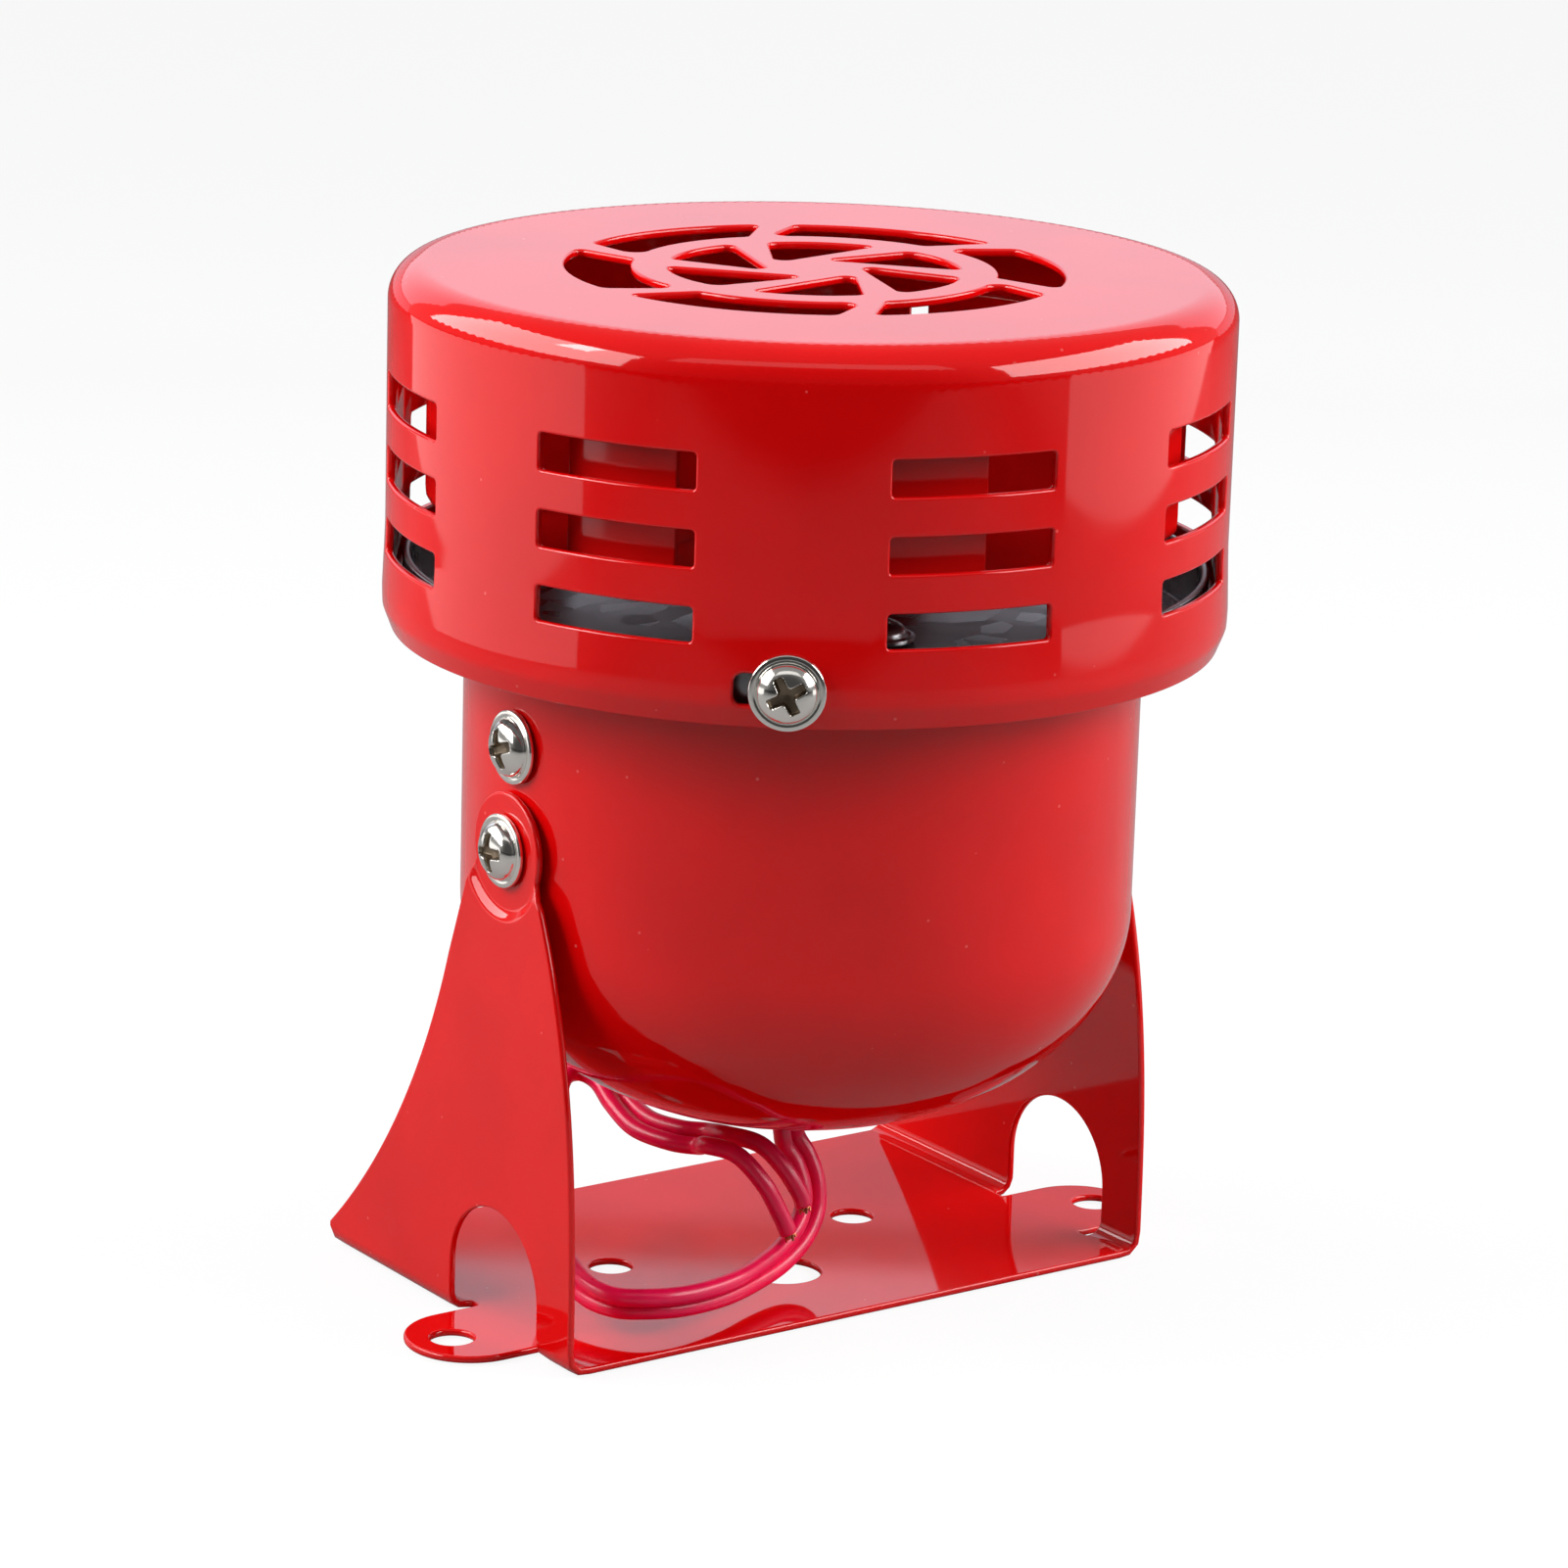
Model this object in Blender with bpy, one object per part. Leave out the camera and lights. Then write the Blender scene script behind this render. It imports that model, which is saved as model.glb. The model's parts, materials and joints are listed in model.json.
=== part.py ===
"""Alarm siren: a slotted steel cap over a chopper rotor, on a motor housing that tilts in a bracket.

The origin is on the mounting plane, straight below the tilt axis.  X runs along the tilt axis,
-Y is the front and +Z is up.  Three bodies move against each other: the bracket stands still,
the head tilts on two pivot screws, and the rotor with its armature spins inside the head.
"""
import math

import bmesh
import bpy
from mathutils import Matrix, Vector
from mathutils.geometry import delaunay_2d_cdt

MM = 0.001
GAP = 0.3 * MM                      # running clearance left between pieces that touch

# --- bracket ---------------------------------------------------------------
SHEET = 0.9 * MM                    # bracket sheet thickness
ARM_X = 42.5 * MM                   # outer face of each arm
BEND_R = 2.4 * MM                   # outer bend radius
PLATE_FRONT = -16.9 * MM
PLATE_BACK = 37.8 * MM
PIVOT_Z = 60.0 * MM                 # tilt axis above the mounting plane
PAD_R = 6.9 * MM                    # round end of the arm
PAD_STEP = 0.8 * MM                 # how far the pad is pressed in
PAD_BLEND = 1.7 * MM                # width of the sloped step round the pad
REAR_SWEEP = (104.65 * MM, 75.18 * MM, 98.38 * MM)      # y, z and radius of the rear edge's arc
FRONT_LEAN = 8.4 * MM               # how far the front edge leans back at the neck
NECK_Z = 55.2 * MM
ARCH_R = 9.5 * MM
ARCH_TOP = 15.8 * MM
TAB_R = 7.8 * MM
TAB_END = 53.4 * MM
FIXING_HOLE_R = 2.6 * MM
CABLE_HOLE_R = 4.6 * MM
TAB_HOLE = (48.0 * MM, 0.0)
PLATE_HOLES = ((-18.2 * MM, 11.2 * MM), (18.2 * MM, 11.2 * MM))
CABLE_HOLE = (-0.8 * MM, -0.9 * MM)

# --- screws and nuts -------------------------------------------------------
SHANK_R = 1.5 * MM
HOLE_R = 1.8 * MM
FLANGE_R = 4.4 * MM
FLANGE_H = 0.7 * MM
HEAD_R = 3.5 * MM
HEAD_H = 2.5 * MM
NUT_AF = 5.5 * MM
NUT_H = 2.4 * MM

# --- cap -------------------------------------------------------------------
CAP_R = 50.0 * MM
CAP_SHEET = 1.0 * MM
CAP_TOP = 125.3 * MM
CAP_BOTTOM = 82.0 * MM
CAP_CORNER = 4.2 * MM
GRILLE_RING_R = 31.5 * MM
CAP_SCREW_ANGLE = 233.2             # degrees about Z, the second screw is opposite
CAP_SCREW_Z = 86.6 * MM
SLOT_ANGLE = 22.72                  # width of one slot in degrees
SLOT_PITCH = 44.05                  # between neighbouring slot columns
SLOT_ROWS = ((91.5, 95.5), (100.0, 104.2), (108.75, 113.0))
ADJUST_SLOT = (-7.0, -2.2, 2.2, 4.4)                    # degrees from the screw: ends, and the screw's seat
GRILLE_RING = (21.65 * MM, 29.4 * MM)                   # inner and outer radius of the outer openings
GRILLE_WEB_R = 17.4 * MM            # outer radius of the inner openings
GRILLE_APEX = (-5.55 * MM, 1.0 * MM)                    # tip of an inner opening
BLADES = 6                          # grille openings in each ring

# --- housing and pan -------------------------------------------------------
HOUSING_R = 40.5 * MM
HOUSING_SHEET = 0.9 * MM
HOUSING_BOTTOM = 22.6 * MM
HOUSING_DOME_R = 36.5 * MM
HOUSING_DOME_H = 26.5 * MM
HOUSING_TOP = 82.3 * MM
PAN_Z = 82.6 * MM
PAN_SHEET = 0.9 * MM
PAN_R = 47.9 * MM
PAN_TOP = 90.8 * MM
COLLAR_BOTTOM = 66.0 * MM
HOUSING_SCREW_Z = 72.3 * MM
GROMMET_HOLE_R = 4.4 * MM
PAN_HOLE_R = 9.5 * MM

# --- leads -----------------------------------------------------------------
LEAD_R = 1.1 * MM
LEAD_SPACING = 2.6 * MM             # between the centres of the two leads
LEAD_LEAN = 49.0                    # degrees that the pair is turned about its own path
STRAND_LENGTH = 0.8 * MM
LOOP_AXIS = Vector((0.6, 0.8, -0.25))                   # what the loop of the pair winds round
# waypoints in millimetres: from the motor to the dome, round the loop, and each cut end
LEAD_HEAD = ((9.0, 1.4, 31.0), (4.0, 1.4, 28.6), (1.45, 0.6, 26.6), (1.4, 0.1, 22.5))
LEAD_LOOP = ((0.0, 0.0, 18.8), (0.6, 0.2, 17.0), (1.6, -0.8, 14.8), (2.0, -2.0, 12.0),
             (1.4, -3.0, 9.2), (-0.8, -4.4, 7.0), (-4.8, -6.4, 5.4), (-10.2, -9.0, 4.8),
             (-16.6, -11.8, 4.8), (-23.2, -13.0, 5.0), (-28.4, -12.0, 5.2), (-31.6, -9.0, 5.2),
             (-32.4, -3.6, 5.8), (-30.2, 5.2, 7.6), (-25.8, 13.4, 11.6), (-22.4, 18.8, 17.0),
             (-19.4, 22.8, 21.2), (-15.8, 23.8, 22.8), (-13.2, 21.2, 21.6), (-13.2, 17.2, 19.4),
             (-13.4, 12.0, 18.2), (-12.0, 6.8, 18.0), (-10.2, 3.6, 18.2))
OUTER_TAIL = ((-8.8, 0.4, 19.4), (-6.4, -3.0, 18.8), (-4.4, -5.2, 16.2), (-2.8, -6.6, 13.0),
              (-2.4, -7.0, 11.4))
INNER_TAIL = ((-12.6, -0.6, 19.0), (-10.4, -4.0, 18.4), (-8.0, -6.4, 15.0), (-6.4, -7.6, 11.4),
              (-5.4, -8.2, 8.8))

# --- motor and rotor -------------------------------------------------------
SHAFT_R = 2.5 * MM
BORE_R = SHAFT_R + GAP
MOTOR_SCREW_Y = 15.0 * MM
MOTOR_SCREW_SHANK = 7.6 * MM
SLOTS = 8                           # armature slots, rotor tabs and vanes
PITCH = 360.0 / SLOTS
DRUM_R = 45.5 * MM
DRUM_Z = 97.3 * MM
DRUM_TOP = 115.5 * MM
DRUM_SHEET = 0.9 * MM
DRUM_CORNER = 1.5 * MM
TAB_CENTRE = 27.0                   # degrees about Z of one drum tab
TAB_WIDTH = 17.8                    # degrees
VANE_START = 18.0 * MM
VANE_TOP = 110.0 * MM
SET_SCREW_Z = 92.6 * MM
CORE_LOW = 50.0 * MM
CORE_HIGH = 70.0 * MM
CORE_R = 18.6 * MM
SLOT_MOUTH = 3.5                    # half width in degrees of a slot's mouth
MAGNET_RADII = (19.4 * MM, 22.5 * MM)
MAGNET_HEIGHTS = (47.0 * MM, 73.0 * MM)
MAGNET_ARC = 120.0                  # degrees
COIL_SIZE = (5.6 * MM, 3.9 * MM, 22.6 * MM)
COIL_R = 12.2 * MM
BRUSH_SIZE = (6.5 * MM, 4.0 * MM, 4.0 * MM)
BRUSH_AT = (10.0 * MM, 43.6 * MM)   # out from the shaft, and height

# outlines of turned and bent motor parts, as (radius, height) in millimetres
CAN = ((22.8, 39.0), (24.0, 39.0), (24.0, 78.0), (23.2, 78.8), (7.0, 78.8), (7.0, 83.6), (5.3, 83.6),
       (5.3, 77.6), (22.8, 77.6))
ISOLATOR = ((9.0, 79.1), (22.0, 79.1), (22.0, 82.3), (9.0, 82.3))
END_BELL = ((5.3, 34.0), (7.5, 34.0), (7.5, 36.2), (24.0, 36.2), (24.0, 38.7), (22.5, 38.7), (22.5, 43.5),
            (21.0, 43.5), (21.0, 38.0), (5.3, 38.0))
LOWER_BUSH = ((2.8, 34.2), (5.0, 34.2), (5.0, 38.2), (2.8, 38.2))
UPPER_BUSH = ((2.8, 77.8), (5.0, 77.8), (5.0, 83.4), (2.8, 83.4))
SHAFT = ((0.0, 33.0), (2.1, 33.0), (2.5, 33.4), (2.5, 104.6), (2.1, 105.0), (0.0, 105.0))
COMMUTATOR = ((2.8, 40.2), (6.0, 40.2), (6.0, 47.2), (2.8, 47.2))
LOWER_COILS = ((6.0, 47.9), (15.6, 47.9), (15.6, 49.6), (6.0, 49.6))
UPPER_COILS = ((6.0, 70.4), (15.6, 70.4), (16.0, 72.5), (14.5, 75.2), (8.0, 75.2), (6.0, 74.0))
CORE_SLOT = ((15.8, -1.1), (15.8, -2.3), (8.7, -2.3), (8.7, 2.3), (15.8, 2.3), (15.8, 1.1))
HUB = ((2.8, 90.0), (7.5, 90.0), (7.5, 95.0), (12.0, 95.4), (12.0, 97.0), (2.8, 97.0))
BRUSH_SPRING = ((13.6, 38.4), (17.0, 38.4), (17.0, 38.9), (14.1, 38.9), (14.1, 45.5), (13.6, 45.5))
TERMINAL = ((10.6, 29.6), (11.4, 29.6), (11.4, 35.1), (16.0, 35.1), (16.0, 35.9), (10.6, 35.9))
# the grommet's outline, its heights measured from the bottom of the housing
GROMMET = ((3.3, -1.5), (5.6, -1.5), (5.8, -0.9), (5.6, -0.35), (4.0, -0.35), (4.0, 1.3), (5.6, 1.3),
           (5.8, 1.8), (5.6, 2.4), (3.3, 2.4))

PIVOT = Vector((0.0, 0.0, PIVOT_Z))
FLOOR = Vector((0.0, 0.0, 0.0))

RED = (0.62, 0.012, 0.014, 1.0)
ROTOR_RED = (0.45, 0.010, 0.012, 1.0)
ZINC = (0.62, 0.63, 0.64, 1.0)
NICKEL = (0.72, 0.69, 0.64, 1.0)
STEEL = (0.50, 0.50, 0.51, 1.0)
COPPER = (0.72, 0.29, 0.14, 1.0)
BRASS = (0.78, 0.60, 0.25, 1.0)
BRONZE = (0.60, 0.38, 0.18, 1.0)
CARBON = (0.03, 0.03, 0.03, 1.0)
FERRITE = (0.05, 0.05, 0.055, 1.0)
NYLON = (0.80, 0.78, 0.70, 1.0)
RUBBER = (0.02, 0.02, 0.02, 1.0)
LEAD = (0.55, 0.01, 0.10, 1.0)
ALUMINIUM = (0.75, 0.76, 0.77, 1.0)
ENAMEL = (0.40, 0.13, 0.05, 1.0)


# --- shared helpers --------------------------------------------------------
def polar(radius, degrees, z=0.0):
    """Return a point at a radius and an angle about Z."""
    angle = math.radians(degrees)
    return Vector((radius * math.cos(angle), radius * math.sin(angle), z))


def make_material(name, colour, metallic, roughness):
    """Return a Principled material with the given look."""
    material = bpy.data.materials.new(name)
    material.use_nodes = True
    material.diffuse_color = colour
    shader = material.node_tree.nodes["Principled BSDF"]
    shader.inputs["Base Color"].default_value = colour
    shader.inputs["Metallic"].default_value = metallic
    shader.inputs["Roughness"].default_value = roughness
    return material


def finish(name, bm, look, origin=PIVOT, smooth=35.0):
    """Turn a bmesh into one closed, outward-facing object with its own material."""
    bmesh.ops.remove_doubles(bm, verts=bm.verts, dist=1e-7)
    bmesh.ops.recalc_face_normals(bm, faces=bm.faces)
    bmesh.ops.translate(bm, verts=bm.verts, vec=-origin)
    mesh = bpy.data.meshes.new(name)
    bm.to_mesh(mesh)
    bm.free()
    obj = bpy.data.objects.new(name, mesh)
    obj.location = origin
    bpy.context.scene.collection.objects.link(obj)
    mesh.materials.append(make_material(name, *look))
    mesh.shade_smooth()
    mesh.set_sharp_from_angle(angle=math.radians(smooth))
    return obj


def lathe(bm, profile, segments, matrix=Matrix.Identity(4)):
    """Spin a closed (radius, z) outline about Z; corners on the axis become single points."""
    rings = []
    for radius, z in profile:
        if radius < 1e-9:
            rings.append([bm.verts.new(matrix @ Vector((0.0, 0.0, z)))])
            continue
        step = 360.0 / segments
        rings.append([bm.verts.new(matrix @ polar(radius, i * step, z)) for i in range(segments)])
    for ring, following in zip(rings, rings[1:] + rings[:1]):
        for i in range(segments):
            j = (i + 1) % segments
            corners = [ring[i % len(ring)], ring[j % len(ring)]]
            corners += [following[j % len(following)], following[i % len(following)]]
            unique = list(dict.fromkeys(corners))
            if len(unique) > 2:
                bm.faces.new(unique)


def drill(bm, radius, depth, matrix):
    """Add a round cutter that runs a depth along the local Z of a matrix."""
    lathe(bm, [(0.0, 0.0), (radius, 0.0), (radius, depth), (0.0, depth)], 12, matrix)


def facing(direction, origin):
    """Return the matrix that turns local +Z to a direction and moves it to an origin."""
    turn = Vector(direction).to_track_quat("Z", "Y").to_matrix().to_4x4()
    return Matrix.Translation(origin) @ turn


def box(bm, size, centre, turn=0.0):
    """Add a box, turned about Z by an angle in degrees round its own centre."""
    matrix = Matrix.Translation(centre) @ Matrix.Rotation(math.radians(turn), 4, "Z")
    matrix = matrix @ Matrix.Diagonal((*size, 1.0))
    bmesh.ops.create_cube(bm, size=1.0, matrix=matrix)


def combine(obj, tool_bm, operation):
    """Join to or cut from an object every body in a bmesh."""
    bmesh.ops.recalc_face_normals(tool_bm, faces=tool_bm.faces)
    tool_mesh = bpy.data.meshes.new("tool")
    tool_bm.to_mesh(tool_mesh)
    tool_bm.free()
    tool = bpy.data.objects.new("tool", tool_mesh)
    bpy.context.scene.collection.objects.link(tool)
    modifier = obj.modifiers.new("combine", "BOOLEAN")
    modifier.operation = operation
    modifier.solver = "EXACT"
    modifier.object = tool
    graph = bpy.context.evaluated_depsgraph_get()
    result = bpy.data.meshes.new_from_object(obj.evaluated_get(graph))
    obj.modifiers.remove(modifier)
    bpy.data.objects.remove(tool)
    bm = bmesh.new()
    bm.from_mesh(result)
    bmesh.ops.remove_doubles(bm, verts=bm.verts, dist=2e-6)
    bmesh.ops.dissolve_degenerate(bm, dist=2e-6, edges=bm.edges)
    bm.to_mesh(obj.data)
    bm.free()
    bpy.data.meshes.remove(result)


def inside(point, loop):
    """Tell whether a 2D point is inside a closed loop."""
    x, y = point
    crossings = 0
    for (x1, y1), (x2, y2) in zip(loop, loop[1:] + loop[:1]):
        if (y1 > y) != (y2 > y) and x < x1 + (y - y1) * (x2 - x1) / (y2 - y1):
            crossings += 1
    return crossings % 2 == 1


def triangulate(outer, holes=(), lines=()):
    """Return 2D points and triangles that fill a loop, leave its holes open and follow the lines."""
    points = []
    edges = []
    for loop in (outer, *holes):
        first = len(points)
        points.extend(Vector(p) for p in loop)
        edges.extend((first + i, first + (i + 1) % len(loop)) for i in range(len(loop)))
    for line in lines:
        first = len(points)
        points.extend(Vector(p) for p in line)
        edges.extend((first + i, first + i + 1) for i in range(len(line) - 1))
    verts, _, faces = delaunay_2d_cdt(points, edges, [], 0, 1e-8)[:3]
    kept = []
    for face in faces:
        centre = sum((verts[i] for i in face), Vector((0.0, 0.0))) / len(face)
        if inside(centre, outer) and not any(inside(centre, hole) for hole in holes):
            kept.append(face)
    return verts, kept


def thick_sheet(bm, flat, top, bottom, is_open=None):
    """Make a solid sheet whose two faces are the flat pattern mapped by top and bottom."""
    verts, faces = flat
    used = sorted({i for face in faces for i in face})
    upper = {i: bm.verts.new(top(verts[i])) for i in used}
    lower = {i: bm.verts.new(bottom(verts[i])) for i in used}
    directed = set()
    for face in faces:
        bm.faces.new([upper[i] for i in face])
        bm.faces.new([lower[i] for i in reversed(face)])
        directed.update(zip(face, face[1:] + face[:1]))
    for a, b in directed:
        if (b, a) in directed or (is_open and is_open(verts[a]) and is_open(verts[b])):
            continue
        bm.faces.new((upper[b], upper[a], lower[a], lower[b]))


def slab(bm, loop, z_low, z_high, holes=()):
    """Add a flat plate with an XY outline between two heights."""
    flat = triangulate(loop, holes)
    thick_sheet(bm, flat, lambda p: Vector((*p, z_high)), lambda p: Vector((*p, z_low)))


def circle(centre, radius, count, start=0.0):
    """Return points on a 2D circle."""
    step = 2.0 * math.pi / count
    angles = [math.radians(start) + i * step for i in range(count)]
    return [(centre[0] + radius * math.cos(a), centre[1] + radius * math.sin(a)) for a in angles]


def arc(centre, radius, first, last, count):
    """Return points on a 2D arc between two angles in degrees."""
    angles = [math.radians(first + (last - first) * i / (count - 1)) for i in range(count)]
    return [(centre[0] + radius * math.cos(a), centre[1] + radius * math.sin(a)) for a in angles]


def rounded(corners, steps=3):
    """Round the corners of a loop; each corner is (x, y, radius)."""
    loop = []
    for i, (x, y, radius) in enumerate(corners):
        here = Vector((x, y))
        if radius <= 0.0:
            loop.append(tuple(here))
            continue
        back = (Vector(corners[i - 1][:2]) - here).normalized()
        ahead = (Vector(corners[(i + 1) % len(corners)][:2]) - here).normalized()
        half = back.angle(ahead) / 2.0
        centre = here + (back + ahead).normalized() * (radius / math.sin(half))
        reach = radius / math.tan(half)
        start = here + back * reach - centre
        end = here + ahead * reach - centre
        turn = start.angle_signed(end)
        for k in range(steps + 1):
            spin = Matrix.Rotation(-turn * k / steps, 2)
            loop.append(tuple(centre + spin @ start))
    return loop


def spline(points, per_span):
    """Return a smooth curve through the points (Catmull-Rom)."""
    path = [Vector(p) for p in points]
    padded = [2 * path[0] - path[1]] + path + [2 * path[-1] - path[-2]]
    curve = []
    for a, b, c, d in zip(padded, padded[1:], padded[2:], padded[3:]):
        for k in range(per_span):
            t = k / per_span
            curve.append(0.5 * (2 * b + (c - a) * t + (2 * a - 5 * b + 4 * c - d) * t * t
                                + (3 * b - a - 3 * c + d) * t ** 3))
    curve.append(path[-1])
    return curve


def tube(bm, path, radius, sides):
    """Sweep a round section along a path and close both ends."""
    rings = []
    side = Vector((0.0, 0.0, 1.0)).cross(path[1] - path[0])
    for i, point in enumerate(path):
        ahead = path[min(i + 1, len(path) - 1)] - path[max(i - 1, 0)]
        ahead.normalize()
        side = (side - ahead * side.dot(ahead)).normalized()
        other = ahead.cross(side)
        ring = []
        for k in range(sides):
            angle = 2.0 * math.pi * k / sides
            offset = side * math.cos(angle) + other * math.sin(angle)
            ring.append(bm.verts.new(point + offset * radius))
        rings.append(ring)
    for ring, following in zip(rings, rings[1:]):
        for k in range(sides):
            j = (k + 1) % sides
            bm.faces.new((ring[k], ring[j], following[j], following[k]))
    bm.faces.new(rings[0])
    bm.faces.new(rings[-1])


# --- bracket ---------------------------------------------------------------
def fold_start():
    """Return where the bend begins along the flat blank."""
    return ARM_X - BEND_R


def fold_length():
    """Return the length of blank that the bend takes up."""
    return (BEND_R - SHEET / 2.0) * math.pi / 2.0


def blank_x(height):
    """Return the distance along the flat blank of a point at a height on the arm."""
    return fold_start() + fold_length() + height - BEND_R


def on_tab(s, v):
    """Tell whether a point of the blank is on a mounting tab, which stays flat."""
    arch_centre = blank_x(ARCH_TOP - ARCH_R)
    reach = (ARCH_R + TAB_R) / 2.0
    if s < arch_centre:
        return abs(v) < reach
    return math.hypot(s - arch_centre, v) < reach


def fold(point, depth):
    """Map a point of the flat blank to the folded bracket, a depth in from its outer face."""
    s = abs(point[0])
    v = point[1]
    sign = math.copysign(1.0, point[0])
    bend_end = fold_start() + fold_length()
    if s <= fold_start() or on_tab(s, v):
        return Vector((point[0], v, depth))
    if s < bend_end:
        angle = (s - fold_start()) / fold_length() * math.pi / 2.0
        reach = BEND_R - depth
        x = fold_start() + reach * math.sin(angle)
        return Vector((sign * x, v, BEND_R - reach * math.cos(angle)))
    z = BEND_R + s - bend_end
    from_pivot = math.hypot(v, z - PIVOT_Z)
    pressed = min(max((PAD_R + PAD_BLEND - from_pivot) / PAD_BLEND, 0.0), 1.0)
    return Vector((sign * (ARM_X - depth - PAD_STEP * pressed), v, z))


def rear_sweep():
    """Return (y, z) up the concave rear edge of an arm, an arc from the corner to the neck."""
    y, z, radius = REAR_SWEEP
    return arc((y, z), radius, 227.2, 197.95, 10)


def front_edge():
    """Return (y, z) up the front edge of an arm; it leans back ever more towards the pad."""
    heights = (55.0, 52.0, 48.0, 43.0, 37.0, 30.0, 22.0, 12.0)
    return [(PLATE_FRONT + FRONT_LEAN * (h * MM / NECK_Z) ** 3, h * MM) for h in heights]


def arm_outline(sign):
    """Return the blank outline of one arm, from its rear corner over the pad to the front."""
    up = rear_sweep()
    over = arc((0.0, PIVOT_Z), PAD_R, -22.0, 202.0, 15)
    down = front_edge()
    side = [(PLATE_BACK, BEND_R)] + up + over + down
    return [(sign * blank_x(z), y) for y, z in side]


def bracket_slit(sign):
    """Return the U-shaped slit that frees a mounting tab from its arm."""
    root = fold_start() - 0.6 * MM
    centre = blank_x(ARCH_TOP - ARCH_R)
    arch = [(root, -ARCH_R)] + arc((centre, 0.0), ARCH_R, -90.0, 90.0, 13) + [(root, ARCH_R)]
    tab_centre = TAB_END - TAB_R
    tab = [(root, TAB_R)] + arc((tab_centre, 0.0), TAB_R, 90.0, -90.0, 11) + [(root, -TAB_R)]
    return [(sign * x, y) for x, y in arch + tab]


def build_bracket():
    """Fold the bracket from one flat blank: base plate, two arms with pads, two tabs."""
    outline = arm_outline(1.0) + list(reversed(arm_outline(-1.0)))
    holes = [bracket_slit(1.0), bracket_slit(-1.0)]
    holes += [circle(centre, FIXING_HOLE_R, 14) for centre in PLATE_HOLES]
    holes.append(circle(CABLE_HOLE, CABLE_HOLE_R, 18))
    lines = []
    for sign in (1.0, -1.0):
        holes.append(circle((sign * TAB_HOLE[0], TAB_HOLE[1]), FIXING_HOLE_R, 14))
        pivot = (sign * blank_x(PIVOT_Z), 0.0)
        holes.append(circle(pivot, HOLE_R, 16))
        for radius in (PAD_R, PAD_R + PAD_BLEND):
            ring = circle(pivot, radius, 32)
            lines.append(ring + ring[:1])
        for i in range(5):
            x = sign * (fold_start() + fold_length() * i / 4.0)
            lines.append([(x, PLATE_FRONT - MM), (x, PLATE_BACK + MM)])
    bm = bmesh.new()
    thick_sheet(bm, triangulate(outline, holes, lines),
                lambda p: fold(p, SHEET), lambda p: fold(p, 0.0))
    finish("mounting_bracket", bm, (RED, 0.0, 0.25), FLOOR, 30.0)


# --- cap -------------------------------------------------------------------
def cap_columns():
    """Return the column angles round the cap, and which columns are slots or screw slots."""
    angles = []
    kinds = []
    half = SLOT_ANGLE / 2.0
    screw_gap = 90.0 - 1.5 * SLOT_PITCH
    for side in (0.0, 180.0):
        base = CAP_SCREW_ANGLE + side
        edge = screw_gap - half
        starts = (-edge, *ADJUST_SLOT)
        for start, kind in zip(starts, ("wall", "adjust", "adjust", "adjust", "wall")):
            angles.append(base + start)
            kinds.append(kind)
        for column in range(4):
            start = base + screw_gap + column * SLOT_PITCH - half
            for i in range(3):
                angles.append(start + SLOT_ANGLE * i / 3.0)
                kinds.append("slot")
            if column < 3:
                for i in range(2):
                    angles.append(start + SLOT_ANGLE + (SLOT_PITCH - SLOT_ANGLE) * i / 2.0)
                    kinds.append("wall")
    return angles, kinds


def cap_rings():
    """Return (outer radius, outer z, inner radius, inner z, row kind) up the cap wall."""
    inner = CAP_R - CAP_SHEET
    rings = [(CAP_R - 1.0 * MM, CAP_BOTTOM, inner - 0.7 * MM, CAP_BOTTOM + 0.3 * MM, "wall"),
             (CAP_R - 0.4 * MM, CAP_BOTTOM + 0.5 * MM, inner - 0.4 * MM, CAP_BOTTOM + 0.9 * MM, "wall"),
             (CAP_R, CAP_BOTTOM + 1.6 * MM, inner, CAP_BOTTOM + 1.8 * MM, "wall")]
    bands = [(CAP_SCREW_Z - HOLE_R, "adjust"), (CAP_SCREW_Z + HOLE_R, "wall")]
    for low, high in SLOT_ROWS:
        bands += [(low * MM, "slot"), (high * MM, "wall")]
    rings += [(CAP_R, z, inner, z, kind) for z, kind in bands]
    for i in range(5):
        angle = math.radians(90.0 * i / 4.0)
        out = CAP_R - CAP_CORNER + CAP_CORNER * math.cos(angle)
        up = CAP_TOP - CAP_CORNER + CAP_CORNER * math.sin(angle)
        small = CAP_CORNER - CAP_SHEET
        out_in = CAP_R - CAP_CORNER + small * math.cos(angle)
        up_in = CAP_TOP - CAP_CORNER + small * math.sin(angle)
        rings.append((out, up, out_in, up_in, "wall"))
    rings.append((GRILLE_RING_R, CAP_TOP, GRILLE_RING_R, CAP_TOP - CAP_SHEET, "wall"))
    return rings


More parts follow.
